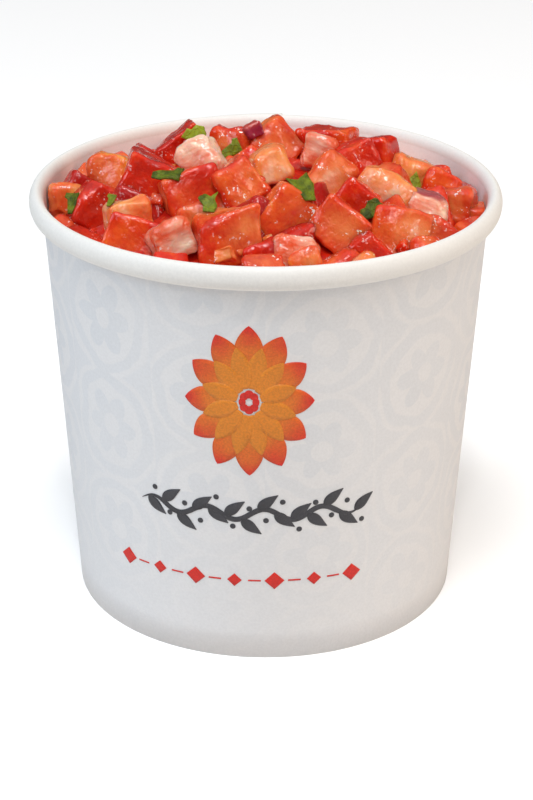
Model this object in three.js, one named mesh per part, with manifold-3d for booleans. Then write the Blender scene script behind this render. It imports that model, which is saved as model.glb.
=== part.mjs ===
// A paper food cup filled with fresh tomato salsa, heaped above the rim.
//
// The cup is made as a real one is, from two pieces of paperboard: a sleeve, whose top edge is
// rolled outwards into a lip and whose foot is folded up inside as a hem, and a bottom disc,
// whose skirt hangs down into that hem. The salsa is a wet core with coarse dice of tomato and
// onion lying in it and flakes of coriander leaf on top.
//
// Millimetres, +Z up. The origin is the centre of the cup's foot, on the surface that it stands
// on. The side of the cup that carries the print faces -Y.

import * as THREE from "three";
import { ConvexGeometry } from "three/addons/geometries/ConvexGeometry.js";
import { mergeVertices } from "three/addons/utils/BufferGeometryUtils.js";
import Module from "manifold-3d";

// The cup
const CUP_HEIGHT = 84;
const LIP_RADIUS = 46;
const FOOT_RADIUS = 38.4;
const BOARD = 0.45;
const LIP_WIDTH = 2.9;
const LIP_HEIGHT = 4.5;
const LIP_END_ANGLE = -2.5; // radians from the lip's outermost point, down and round to the wall
const HEM_HEIGHT = 7;
const FLOOR_HEIGHT = 8;
const GAP = 0.3; // between pieces that touch
const CUP_SIDES = 60;
const LIP_STEPS = 10;
const MITRE_LIMIT = 0.5;
const ABOVE_ALL = 2 * CUP_HEIGHT;
const MERGE_DISTANCE = 1e-4; // points nearer than this are one

// The salsa
const SEED = 20;
const EDGE_DROP = 7.5; // the heap's mean surface at the wall lies this far below the lip
const CROWN = 6; // and its middle stands this far above it
const FULLNESS = 2.3; // 2 is a plain dome, and more a flatter one with steeper edges
const CORE_DEPTH = 6; // the wet core lies this far below that surface
const CORE_RINGS = 7;
const GOLDEN_ANGLE = Math.PI * (3 - Math.sqrt(5));

// The dice that lie on top, from the back of the cup to its front. Each has its middle as seen
// from above and its longest side. Seen from the front, it is then turned to the right, tipped
// back and rolled anticlockwise by so many degrees, and stands out of the others by its rise.
const TOP_DICE = [
  { x: -16, y: 17, side: 10, turn: 10, tip: 10, roll: 40, rise: 0.5 },
  { x: -7, y: 17, side: 9, turn: -10, tip: 15, roll: -10, rise: 0.5 },
  { x: 1.5, y: 17.5, side: 11, turn: 15, tip: 25, roll: 35, rise: 0.5 },
  { x: 12.5, y: 17, side: 10, turn: -25, tip: 15, roll: 5, rise: 1 },
  { x: 21, y: 14, side: 9, turn: -30, tip: 10, roll: 15, rise: 0.5 },
  { x: 29, y: 12, side: 10, turn: 0, tip: 20, roll: -30, rise: 0 },
  { x: 35, y: 8, side: 7, turn: 0, tip: 20, roll: -20, rise: 0 },
  { x: -30.5, y: 9, side: 10.5, turn: -20, tip: 20, roll: 5, rise: 2 },
  { x: -24, y: 15, side: 9, turn: 10, tip: 20, roll: -30, rise: -1.5 },
  { x: -37, y: 6.5, side: 7.5, turn: 15, tip: 10, roll: -35, rise: 1 },
  { x: -2.5, y: 14, side: 3.5, turn: 20, tip: 20, roll: 20, rise: 0.5 },
  { x: 10, y: 7, side: 6.5, turn: 0, tip: 20, roll: -20, rise: -0.5 },
  { x: -12.5, y: 3, side: 8, turn: -10, tip: 20, roll: 35, rise: 0.5 },
  { x: 1, y: -4, side: 7.5, turn: 15, tip: 20, roll: 15, rise: 0.5 },
  { x: 12, y: -4.5, side: 10, turn: 15, tip: 25, roll: 45, rise: -0.5 },
  { x: 17, y: 4.5, side: 8.5, turn: 30, tip: 15, roll: 20, rise: 0.5 },
  { x: -22, y: -3.5, side: 12, turn: 5, tip: 15, roll: -25, rise: 0 },
  { x: -5.5, y: -10.5, side: 9.5, turn: 20, tip: 25, roll: 30, rise: 0 },
  { x: -13.5, y: -10.5, side: 11, turn: 15, tip: 20, roll: 15, rise: -0.5 },
  { x: 23, y: -6.5, side: 10, turn: -10, tip: 25, roll: -30, rise: 0 },
  { x: 30.5, y: -9, side: 7.5, turn: 0, tip: 15, roll: -20, rise: 0 },
  { x: 36, y: 0, side: 9.5, turn: -15, tip: 15, roll: 5, rise: 0.5 },
  { x: -32.5, y: -3, side: 11, turn: 15, tip: 20, roll: -30, rise: -0.5 },
  { x: -39, y: 2, side: 7, turn: 20, tip: 20, roll: -20, rise: 0.5 },
  { x: -25.5, y: -16, side: 8, turn: 10, tip: 20, roll: 10, rise: 0.5 },
  { x: -13, y: -22, side: 6.5, turn: 10, tip: 20, roll: 20, rise: -0.5 },
  { x: 3.5, y: -21, side: 10.5, turn: 10, tip: 15, roll: 45, rise: 0 },
  { x: 17, y: -14.5, side: 8.5, turn: 0, tip: 15, roll: -35, rise: -0.5 },
  { x: 31.5, y: -18, side: 6.5, turn: 0, tip: 20, roll: -35, rise: 0 },
  { x: -23.5, y: -22, side: 12.5, turn: -5, tip: 25, roll: -20, rise: -1 },
  { x: -17, y: -27, side: 8, turn: 15, tip: 20, roll: 20, rise: 0.5 },
  { x: -7, y: -26, side: 12.5, turn: 10, tip: 20, roll: 5, rise: 0.5 },
  { x: 13.5, y: -24, side: 9.5, turn: -10, tip: 25, roll: -40, rise: 0.5 },
  { x: 24.5, y: -19, side: 12, turn: 5, tip: 25, roll: -15, rise: 0 },
  { x: 5.5, y: -31.5, side: 8.5, turn: 0, tip: 25, roll: -10, rise: -0.5 },
  { x: 19, y: -28.5, side: 7, turn: 0, tip: 20, roll: -45, rise: -0.5 },
  { x: -7.5, y: -35, side: 4, turn: 0, tip: 20, roll: 10, rise: 1 },
  { x: 7.5, y: -35, side: 5.5, turn: 0, tip: 20, roll: 20, rise: 0 },
  { x: -0.5, y: -31, side: 6, turn: 0, tip: 10, roll: 20, rise: -2 },
];
const TOP_RISE = 2.4; // their tops above the heap's mean surface
const BED_DICE = 46; // on a spiral of even spacing, between and under those on top
const BED_SIDE = 10;
const BED_FALL = 1.2; // their tops below the mean surface
const BED_RISE = 0.2; // or above it, where none of those on top is nearer than this:
const TOP_SPACING = 9;
const RING_DICE = 28; // lying against the wall
const RING_SIDE = 8;
const RING_RISE = 1.9;
const TOP_COVER = 4.5; // a place this near to a dice on top stays empty, hidden under it
const SIDE_SHARES = [1, 0.78, 0.9];
const SIZE_SPREAD = 0.13;
const PLACE_SPREAD = 1.5;
const HEIGHT_SPREAD = 0.8;
const TIP = 1.1; // the steepest that a lower dice lies, in radians
const CORNER_SPREAD = 0.15;
const CORNER_CUT = 0.24; // of a half side, taken off each edge of the dice on top

// The coriander: the middle of each flake as seen from above, and its length.
const FLAKES = [
  [-14.5, 16, 4.5], [-18.5, -10, 5.5], [-7, 10, 4], [-10.5, -22, 4], [-37, -4.5, 4.5],
  [-29, -13.5, 3], [6.5, -19, 6], [29, 3.5, 5], [19.5, -19, 5], [10, 30, 5], [-22, 27, 4.5],
  [30, 21, 5],
];
const FLAKE_SLANT = Math.PI / 4; // of the line along which each is laid, down from the front
const FLAKE_SHARE = 0.68; // of a flake's length is its width
const FLAKE_THICKNESS = 0.8;
const FLAKE_WAVE = 0.35;
const FLAKE_TEETH = 8;
const TOOTH_DEPTH = 0.35;
const TOOTH_SPREAD = 0.3;

const wasm = await Module();
wasm.setup();

// Numbers from 0 to 1 that come out the same each time: a linear congruential generator.
function seeded(seed) {
  let state = seed;
  return () => {
    state = (1664525 * state + 1013904223) % 4294967296;
    return state / 4294967296;
  };
}

// A closed geometry as a manifold-3d solid.
function solidOf(geometry) {
  const bare = geometry.clone();
  bare.deleteAttribute("normal");
  bare.deleteAttribute("uv");
  const merged = mergeVertices(bare, MERGE_DISTANCE);
  return new wasm.Manifold(
    new wasm.Mesh({
      numProp: 3,
      vertProperties: new Float32Array(merged.attributes.position.array),
      triVerts: new Uint32Array(merged.index.array),
    }),
  );
}

function geometryOf(solid) {
  const mesh = solid.getMesh();
  const geometry = new THREE.BufferGeometry();
  geometry.setAttribute("position", new THREE.BufferAttribute(mesh.vertProperties, 3));
  geometry.setIndex(new THREE.BufferAttribute(mesh.triVerts, 1));
  return geometry;
}

// The largest shell of a solid: it fills what the joining sealed off, and drops loose scraps.
function outerShell(solid) {
  return solid.decompose().reduce((a, b) => (b.volume() > a.volume() ? b : a));
}

// A profile of (radius, height) points turned about the upright axis.
function turned(profile) {
  return new THREE.LatheGeometry(profile, CUP_SIDES).rotateX(Math.PI / 2);
}

// The section of a sheet of board whose middle follows a path: its two faces, one after the other.
function sheetSection(path) {
  const sides = path.map((point, i) => {
    const before = path[Math.max(i - 1, 0)];
    const after = path[Math.min(i + 1, path.length - 1)];
    const into = point.clone().sub(i ? before : point);
    const out = after.clone().sub(point);
    const along = into.normalize().add(out.normalize()).normalize();
    const normal = new THREE.Vector2(-along.y, along.x);
    const leg = i && i < path.length - 1 ? out : along;
    const mitre = BOARD / 2 / Math.max(Math.abs(along.dot(leg)), MITRE_LIMIT);
    return [normal.clone().multiplyScalar(mitre).add(point), normal.multiplyScalar(-mitre).add(point)];
  });
  return { left: sides.map((side) => side[0]), right: sides.map((side) => side[1]) };
}

// The inside of the wall: a cone from the foot up to the innermost line of the lip.
const lipCentre = new THREE.Vector2(LIP_RADIUS - LIP_WIDTH / 2, CUP_HEIGHT - LIP_HEIGHT / 2);
function insideRadius(height) {
  const top = LIP_RADIUS - LIP_WIDTH;
  const foot = FOOT_RADIUS - BOARD;
  return foot + ((top - foot) * height) / lipCentre.y;
}

function middleRadius(height) {
  return insideRadius(height) + BOARD / 2;
}

// The sleeve's path: up the hem's inner leg, round the fold, up the wall and over the lip.
function cupSidewall() {
  const hemOffset = 2 * (BOARD + GAP);
  const foldHeight = BOARD / 2;
  const path = [
    new THREE.Vector2(middleRadius(HEM_HEIGHT) - hemOffset, HEM_HEIGHT),
    new THREE.Vector2(middleRadius(foldHeight) - hemOffset, foldHeight),
    new THREE.Vector2(middleRadius(foldHeight), foldHeight),
  ];
  const across = (LIP_WIDTH - BOARD) / 2;
  const upright = (LIP_HEIGHT - BOARD) / 2;
  for (let i = 0; i <= LIP_STEPS; i++) {
    const angle = Math.PI + ((LIP_END_ANGLE - Math.PI) * i) / LIP_STEPS;
    path.push(
      new THREE.Vector2(across * Math.cos(angle), upright * Math.sin(angle)).add(lipCentre),
    );
  }
  const { left, right } = sheetSection(path);
  const profile = [...right, ...left.reverse()];
  profile.push(profile[0].clone());
  return turned(profile);
}

// The bottom disc, with its skirt turned down between the wall and the hem.
function cupBase() {
  const skirt = (height) => middleRadius(height) - BOARD - GAP;
  const skirtEnd = BOARD + GAP;
  const path = [
    new THREE.Vector2(0, FLOOR_HEIGHT),
    new THREE.Vector2(skirt(FLOOR_HEIGHT), FLOOR_HEIGHT),
    new THREE.Vector2(skirt(skirtEnd), skirtEnd),
  ];
  const { left, right } = sheetSection(path);
  return turned([...right, ...left.reverse()]);
}

// The heap's mean surface, domed above the lip.
function heapHeight(radius) {
  const share = Math.min(radius / insideRadius(CUP_HEIGHT), 1);
  return CUP_HEIGHT + CROWN - (CROWN + EDGE_DROP) * share ** FULLNESS;
}

// What the cup's inside leaves free, carried on above the lip: the dice are cut to it.
function cupInside(top) {
  const low = FLOOR_HEIGHT + BOARD / 2 + GAP;
  return solidOf(
    turned([
      new THREE.Vector2(0, low),
      new THREE.Vector2(insideRadius(low) - GAP, low),
      new THREE.Vector2(insideRadius(lipCentre.y) - GAP, lipCentre.y),
      new THREE.Vector2(insideRadius(lipCentre.y) - GAP, top),
      new THREE.Vector2(0, top),
    ]),
  );
}

function salsaCore() {
  const low = FLOOR_HEIGHT + BOARD / 2 + GAP;
  const edge = heapHeight(insideRadius(CUP_HEIGHT)) - CORE_DEPTH / 2;
  const edgeRadius = insideRadius(edge) - GAP;
  const profile = [
    new THREE.Vector2(0, low),
    new THREE.Vector2(insideRadius(low) - GAP, low),
    new THREE.Vector2(edgeRadius, edge),
  ];
  for (let ring = CORE_RINGS - 1; ring >= 0; ring--) {
    const radius = (edgeRadius * ring) / CORE_RINGS;
    profile.push(new THREE.Vector2(radius, heapHeight(radius) - CORE_DEPTH));
  }
  return solidOf(turned(profile));
}

function spread(amount, random) {
  return amount * (2 * random() - 1);
}

// A lower dice lies anyhow: turned, and then tipped about a level line.
function tumbled(random) {
  const turn = new THREE.Matrix4().makeRotationZ(2 * Math.PI * random());
  const heading = 2 * Math.PI * random();
  const axis = new THREE.Vector3(Math.cos(heading), Math.sin(heading), 0);
  return turn.premultiply(new THREE.Matrix4().makeRotationAxis(axis, TIP * random()));
}

// How all dice lie: on top, in the bed and in a ring along the wall.
function dicePlaces(random) {
  const places = [];
  const put = (x, y, side, rise, cut, matrix) => {
    matrix.setPosition(x, y, heapHeight(Math.hypot(x, y)) + rise - side / 2);
    places.push({ matrix, side, cut });
  };
  for (const { x, y, side, turn, tip, roll, rise } of TOP_DICE) {
    const [about, over, round] = [-tip, -roll, turn].map(THREE.MathUtils.degToRad);
    const euler = new THREE.Euler(about, over, round, "ZXY");
    put(x, y, side, TOP_RISE + rise, CORNER_CUT, new THREE.Matrix4().makeRotationFromEuler(euler));
  }

  const near = (radius, angle, side, riseAt) => {
    const x = radius * Math.cos(angle) + spread(PLACE_SPREAD, random);
    const y = radius * Math.sin(angle) + spread(PLACE_SPREAD, random);
    const distance = Math.min(...TOP_DICE.map((dice) => Math.hypot(dice.x - x, dice.y - y)));
    if (distance < TOP_COVER) return;
    put(x, y, side, riseAt(distance) + spread(HEIGHT_SPREAD, random), 0, tumbled(random));
  };
  const ring = insideRadius(CUP_HEIGHT) - RING_SIDE / 2;
  for (let i = 0; i < BED_DICE; i++) {
    const radius = (ring - RING_SIDE / 2) * Math.sqrt((i + 0.5) / BED_DICE);
    const rise = (distance) => (distance > TOP_SPACING ? BED_RISE : -BED_FALL);
    near(radius, i * GOLDEN_ANGLE, BED_SIDE, rise);
  }
  for (let i = 0; i < RING_DICE; i++)
    near(ring, (2 * Math.PI * i) / RING_DICE, RING_SIDE, () => RING_RISE);
  return places;
}

// One dice: a block whose corners are pushed about and edges cut off.
function dice({ matrix, side, cut }, random) {
  const half = SIDE_SHARES.map((share) => (side / 2) * share * (1 + spread(SIZE_SPREAD, random)));
  const points = [];
  for (const sx of [-1, 1])
    for (const sy of [-1, 1])
      for (const sz of [-1, 1]) {
        const push = half.map((length) => length * (1 + spread(CORNER_SPREAD, random)));
        const corner = new THREE.Vector3(sx * push[0], sy * push[1], sz * push[2]);
        for (const face of ["x", "y", "z"]) {
          const point = corner.clone().multiplyScalar(1 - cut);
          point[face] = corner[face];
          points.push(point.applyMatrix4(matrix));
        }
      }
  return new ConvexGeometry(points);
}

// A flake of leaf: a toothed outline, both faces fanned from the middle alike, and waved.
function flake(length, random) {
  const points = [new THREE.Vector3()];
  for (let i = 0; i < FLAKE_TEETH; i++) {
    const angle = (2 * Math.PI * i) / FLAKE_TEETH;
    const reach = (length / 2) * (1 - TOOTH_DEPTH * (i % 2) + spread(TOOTH_SPREAD / 2, random));
    const x = reach * Math.cos(angle);
    const y = reach * FLAKE_SHARE * Math.sin(angle);
    points.push(new THREE.Vector3(x, y, FLAKE_WAVE * Math.sin(2 * angle)));
  }
  const thickness = new THREE.Vector3(0, 0, FLAKE_THICKNESS);
  const lower = points.map((point) => point.clone().sub(thickness));
  const positions = [];
  const add = (...corners) => corners.forEach((corner) => positions.push(...corner.toArray()));
  for (let i = 1; i <= FLAKE_TEETH; i++) {
    const next = (i % FLAKE_TEETH) + 1;
    add(points[0], points[i], points[next]);
    add(lower[0], lower[next], lower[i]);
    add(lower[i], lower[next], points[next]);
    add(lower[i], points[next], points[i]);
  }
  const geometry = new THREE.BufferGeometry();
  geometry.setAttribute("position", new THREE.Float32BufferAttribute(positions, 3));
  return geometry;
}

// The flakes lie on the heap where a line slanting down from the front meets it, tilted to its
// face.
function flakesOn(heap, random) {
  const caster = new THREE.Raycaster();
  const up = new THREE.Vector3(0, 0, 1);
  const out = new THREE.Vector3(0, -Math.cos(FLAKE_SLANT), Math.sin(FLAKE_SLANT));
  const target = new THREE.Mesh(geometryOf(heap));
  return FLAKES.map(([x, y, length]) => {
    const shape = flake(length, random).rotateZ(2 * Math.PI * random());
    const middle = new THREE.Vector3(x, y, heapHeight(Math.hypot(x, y)));
    caster.set(middle.addScaledVector(out, ABOVE_ALL), out.clone().negate());
    const [{ face, point }] = caster.intersectObject(target);
    shape.applyQuaternion(new THREE.Quaternion().setFromUnitVectors(up, face.normal));
    shape.translate(...point.addScaledVector(face.normal, FLAKE_THICKNESS / 2).toArray());
    return solidOf(shape);
  });
}

function salsa() {
  const random = seeded(SEED);
  let heap = salsaCore();
  for (const each of dicePlaces(random)) heap = heap.add(solidOf(dice(each, random)));
  for (const leaf of flakesOn(heap, random)) heap = heap.add(leaf);
  return geometryOf(outerShell(heap.intersect(cupInside(ABOVE_ALL))));
}

function piece(name, geometry, colour, roughness) {
  const material = new THREE.MeshStandardMaterial({ color: colour, roughness, metalness: 0 });
  const mesh = new THREE.Mesh(geometry, material);
  mesh.name = name;
  return mesh;
}

const group = new THREE.Group();
group.add(piece("cup_sidewall", cupSidewall(), 0xe4e4e6, 0.55));
group.add(piece("cup_base", cupBase(), 0xf1efea, 0.6));
group.add(piece("salsa", salsa(), 0xd23a22, 0.25));

export default group;
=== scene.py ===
"""A paper food cup heaped with fresh tomato salsa, dressed over its solids.

Metres, +Z up. The origin is the centre of the cup's foot and the printed side faces -Y.
"""

import collections
import math

import bmesh
import bpy
import numpy as np
from mathutils import Euler, Matrix, Vector, noise
from mathutils.bvhtree import BVHTree


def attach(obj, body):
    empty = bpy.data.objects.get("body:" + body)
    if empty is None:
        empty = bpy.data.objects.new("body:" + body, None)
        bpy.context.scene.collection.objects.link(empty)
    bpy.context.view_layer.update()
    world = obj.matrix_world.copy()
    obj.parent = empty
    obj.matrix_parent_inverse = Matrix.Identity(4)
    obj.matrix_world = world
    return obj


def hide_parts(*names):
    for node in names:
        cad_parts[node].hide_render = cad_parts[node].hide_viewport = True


bl_info = {
    "name": "Cup of Fresh Salsa",
    "version": (1, 0, 0),
    "blender": (4, 5, 0),
    "location": "3D View > Sidebar > Salsa",
    "description": "Builds a paper cup heaped with fresh tomato salsa",
    "category": "Add Mesh",
}

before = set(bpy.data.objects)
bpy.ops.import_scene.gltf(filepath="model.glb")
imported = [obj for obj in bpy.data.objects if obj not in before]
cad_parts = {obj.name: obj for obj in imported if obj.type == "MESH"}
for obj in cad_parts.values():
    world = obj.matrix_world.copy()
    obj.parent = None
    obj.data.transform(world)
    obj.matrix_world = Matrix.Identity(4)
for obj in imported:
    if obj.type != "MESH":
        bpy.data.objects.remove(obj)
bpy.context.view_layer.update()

# The cup, as its solids are made
CUP_HEIGHT = 0.084
LIP_RADIUS = 0.046
FOOT_RADIUS = 0.0384
BOARD = 0.00045
LIP_WIDTH = 0.0029
LIP_HEIGHT = 0.0045
LIP_END_ANGLE = -2.5
HEM_HEIGHT = 0.007
FLOOR_HEIGHT = 0.008
GAP = 0.0003
AXIS_GAP = 0.00002
MITRE_LIMIT = 0.5
LIP_ACROSS = LIP_RADIUS - LIP_WIDTH / 2
LIP_MIDDLE = CUP_HEIGHT - LIP_HEIGHT / 2

# The cup's finer form: its steps, how it strays from round, its glued seam, and how its bottom
# disc bends down into its skirt
CUP_SIDES = 240
LIP_STEPS = 48
WALL_STEPS = 14
HEM_POINTS = 2
WALL_WAVES = 1.7
SEAM_ANGLE = math.pi / 2
SEAM_EASE = 0.35
SEAM_CRISP = 0.004
SEAM_RISE = 0.7
BASE_RINGS = 10
BEND_STEPS = 7
BASE_BEND = 0.0008
BASE_WAVES = 2
BASE_WAVE_HEIGHT = 0.00012

# The heap, as its solid is made
EDGE_DROP = 0.0075
CROWN = 0.006
FULLNESS = 2.3
CORE_DEPTH = 0.006
PULP_DEPTH = 0.0045
GOLDEN_ANGLE = math.pi * (3 - math.sqrt(5))
TOP_RISE = 0.0024
BED_DICE = 46
BED_SIDE = 0.010
BED_FALL = 0.0012
BED_RISE = 0.0002
TOP_SPACING = 0.009
RING_DICE = 28
RING_SIDE = 0.008
RING_RISE = 0.0019
TOP_COVER = 0.0045
SIDE_SHARES = (1, 0.78, 0.9)
SIZE_SPREAD = 0.13
PLACE_SPREAD = 0.0015
HEIGHT_SPREAD = 0.0008
TIP = 1.1
CORNER_SPREAD = 0.15

# The dice on top, from the back of the cup to its front: the middle of each as seen from above
# and its longest side in millimetres; how it is turned to the right, tipped back and rolled
# anticlockwise as seen from the front, in degrees; its rise out of the others, in millimetres;
# and what it is cut from.
TOP_DICE = (
    (-16, 17, 10, 10, 10, 40, 0.5, "deep"), (-7, 17, 9, -10, 15, -10, 0.5, "speckled"),
    (1.5, 17.5, 11, 15, 25, 35, 0.5, "coral"), (12.5, 17, 10, -25, 15, 5, 1, "red"),
    (21, 14, 9, -30, 10, 15, 0.5, "deep"), (29, 12, 10, 0, 20, -30, 0, "peach"),
    (35, 8, 7, 0, 20, -20, 0, "red"), (-30.5, 9, 10.5, -20, 20, 5, 2, "orange"),
    (-24, 15, 9, 10, 20, -30, -1.5, "deep"), (-37, 6.5, 7.5, 15, 10, -35, 1, "dark"),
    (-2.5, 14, 3.5, 20, 20, 20, 0.5, "purple"), (10, 7, 6.5, 0, 20, -20, -0.5, "rosy onion"),
    (-12.5, 3, 8, -10, 20, 35, 0.5, "onion"), (1, -4, 7.5, 15, 20, 15, 0.5, "yellow"),
    (12, -4.5, 10, 15, 25, 45, -0.5, "pink"), (17, 4.5, 8.5, 30, 15, 20, 0.5, "deep"),
    (-22, -3.5, 12, 5, 15, -25, 0, "deep"), (-5.5, -10.5, 9.5, 20, 25, 30, 0, "coral"),
    (-13.5, -10.5, 11, 15, 20, 15, -0.5, "orange red"), (23, -6.5, 10, -10, 25, -30, 0, "yellow"),
    (30.5, -9, 7.5, 0, 15, -20, 0, "edged onion"), (36, 0, 9.5, -15, 15, 5, 0.5, "speckled"),
    (-32.5, -3, 11, 15, 20, -30, -0.5, "dark speckled"), (-39, 2, 7, 20, 20, -20, 0.5, "orange"),
    (-25.5, -16, 8, 10, 20, 10, 0.5, "peach"), (-13, -22, 6.5, 10, 20, 20, -0.5, "pink"),
    (3.5, -21, 10.5, 10, 15, 45, 0, "glossy"), (17, -14.5, 8.5, 0, 15, -35, -0.5, "deep"),
    (31.5, -18, 6.5, 0, 20, -35, 0, "coral"), (-23.5, -22, 12.5, -5, 25, -20, -1, "bright"),
    (-17, -27, 8, 15, 20, 20, 0.5, "rosy onion"), (-7, -26, 12.5, 10, 20, 5, 0.5, "veined"),
    (13.5, -24, 9.5, -10, 25, -40, 0.5, "glossy"), (24.5, -19, 12, 5, 25, -15, 0, "veined"),
    (5.5, -31.5, 8.5, 0, 25, -10, -0.5, "rosy onion"), (19, -28.5, 7, 0, 20, -45, -0.5, "red"),
    (-7.5, -35, 4, 0, 20, 10, 1, "orange"), (7.5, -35, 5.5, 0, 20, 20, 0, "orange"),
    (-0.5, -31, 6, 0, 10, 20, -2, "dark"),
)
MILLIMETRE = 0.001
CORNERS = [(x, y, z) for x in (-1, 1) for y in (-1, 1) for z in (-1, 1)]
Dice = collections.namedtuple("Dice", "matrix corners half cut softness top number")

# What a dice is cut from: how far from deep red to yellow, how pale all over, how much paler
# in blots, how much painted glint (painted highlight) it has, and how soft its edges are.
TOMATO_CUTS = {
    "dark": (0.05, 0.0, 0.0, 0.3, 0.2),
    "dark speckled": (0.15, 0.05, 0.05, 0.7, 0.3),
    "deep": (0.24, 0.0, 0.08, 0.4, 0.1),
    "red": (0.34, 0.04, 0.15, 0.4, 0.2),
    "bright": (0.4, 0.0, 0.15, 0.1, 0.0),
    "glossy": (0.5, 0.22, 0.5, 1.0, 0.2),
    "speckled": (0.44, 0.15, 0.35, 1.0, 0.8),
    "orange red": (0.5, 0.1, 0.4, 0.4, 0.2),
    "veined": (0.54, 0.12, 0.85, 0.5, 0.2),
    "coral": (0.4, 0.3, 0.4, 0.9, 0.5),
    "pink": (0.44, 0.4, 0.5, 1.0, 1.0),
    "orange": (0.66, 0.25, 0.5, 0.6, 0.7),
    "peach": (0.66, 0.6, 1.0, 0.9, 0.9),
    "yellow": (0.8, 0.65, 1.0, 0.8, 0.6),
}
# And for onion: how rosy, how purple at its outer face, and how soft its edges are.
ONION_CUTS = {
    "onion": (0.15, 0.0, 1.0), "rosy onion": (0.7, 0.1, 0.8), "edged onion": (0.3, 0.8, 0.7),
}
# Red onion has only its softness.
RED_ONION_CUTS = {"purple": (0.3,)}
# The dice that lie lower come in this mix.
LOWER_CUTS = (
    "deep", "red", "dark", "orange red", "glossy", "deep", "coral", "onion", "bright",
    "speckled", "red", "veined", "peach", "dark speckled", "orange",
)

# How the dice are modelled: steps along an edge; how many more slices are taken off the edges and
# corners of a soft dice than of a crisp one; how much of its lean along the third axis a slice
# keeps; and the least share of the reach its way that it leaves, and how much more it may leave
TOP_STEPS = 18
LOWER_STEPS = 8
KNIFE_SEED = 77
SOFT_SLICES = 3
SLICE_LEVEL = 0.3
SLICE_LEAST = 0.8
SLICE_MORE = 0.15

# How much rounder a soft dice is than a crisp one, the shares of its half side that the rounding
# stays between, and how far its faces bulge, which turns from one dice to the next
SOFT_ROUNDING = 2
ROUNDING_LIMITS = (0.05, 0.42)
BULGE = 0.035
BULGE_TURN = 1.7

# How sharply one face's look gives way to the next at an edge
FACE_SHARPNESS = 10

# The waves in a dice's faces: their sizes, their heights, how much higher the broad ones are on a
# soft dice, and the shifts from one dice to the next that keep two from having the same waves and
# the same streaks
BROAD_WAVE, MIDDLE_WAVE, FINE_WAVE = 0.005, 0.0018, 0.0008
BROAD_HEIGHT, MIDDLE_HEIGHT, FINE_HEIGHT = 0.0005, 0.00024, 0.00008
SOFT_HEIGHT = 0.0009
WAVE_SHIFTS = (7.1, 3.3, 5.7)
TEXTURE_SHIFT = 0.037

# The roughness of flesh where it is wettest
WETTEST = 0.06

# Tomato: how its faces differ in tone and paleness, how much its edges lean to yellow as a painted
# glow of light through the thin flesh there, and how strong its paleness and its blots are at an
# edge, and how much stronger in a face's middle
FACE_TONE = 0.16
FACE_PALENESS = 0.4
PAINTED_EDGE_GLOW = 0.08
PALE_EDGE, PALE_GAIN = 0.45, 0.8
BLOT_EDGE, BLOT_GAIN = 0.35, 0.65

# Onion: how its faces differ, how strong its pale blots are at an edge and how much stronger in a
# face's middle, how much rosier it is outside them and paler in them, and how rough it is
ONION_FACE_TONE = 0.3
ONION_BLOT_EDGE, ONION_BLOT_GAIN = 0.3, 0.7
ONION_ROSIER, ONION_PALER = 0.75, 1.5
ONION_ROUGHNESS = 1.3

# The pulp between the dice: its sides and rings, and the size and height of its lumps
PULP_SIDES, PULP_RINGS = 120, 40
PULP_LUMPS = ((0.005, 0.0012), (0.0017, 0.0004))

# The small bits: how many, the range of their sides, how far below the heap's mean surface they
# have to lie, what they are cut from, the shares of their sides and how those and the corners
# vary, the number of the first bit, and how rough they are
BITS = 80
BIT_SIDES = (0.0016, 0.0036)
BIT_CEILING = -0.0013
BIT_CUTS = ("red", "deep", "coral", "orange red", "speckled", "orange", "pink", "peach")
BIT_SHARES = (1, 0.8, 0.6)
BIT_SIZE_SPREAD = 0.3
BIT_CORNER_SPREAD = 0.25
FIRST_BIT = 500
BIT_ROUGHNESS = 0.6

# Where the flakes and bits come down on the heap, and what they can lie on
HEAP_PIECES = ("tomato_dice", "onion_dice", "red_onion_bits", "salsa_juice")
ABOVE = Vector((0, 0, 0.2))
DOWN = Vector((0, 0, -1))

# The coriander: the middle of each flake as seen from above, its length in millimetres, the
# way it points in degrees, its outline and how dark it is.
FLAKES = (
    (-14.5, 16, 5, 10, "lobed", 0.0), (-18.5, -10, 6, -8, "blade", 0.8),
    (-7, 10, 4.8, 28, "blade", 0.5), (-10.5, -22, 4.6, 100, "forked", 0.55),
    (-37, -4.5, 4.8, 80, "blade", 0.75), (-29, -13.5, 3, 75, "blade", 0.5),
    (6.5, -19, 6.8, -62, "wedge", 0.65), (29, 3.5, 5.2, -70, "wedge", 0.15),
    (19.5, -19, 5.2, 35, "lobed", 0.9), (10, 30, 5, 20, "forked", 0.4),
    (-20, 31, 4.5, 130, "wedge", 0.3), (30, 21, 5, 200, "lobed", 0.5),
)
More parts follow.
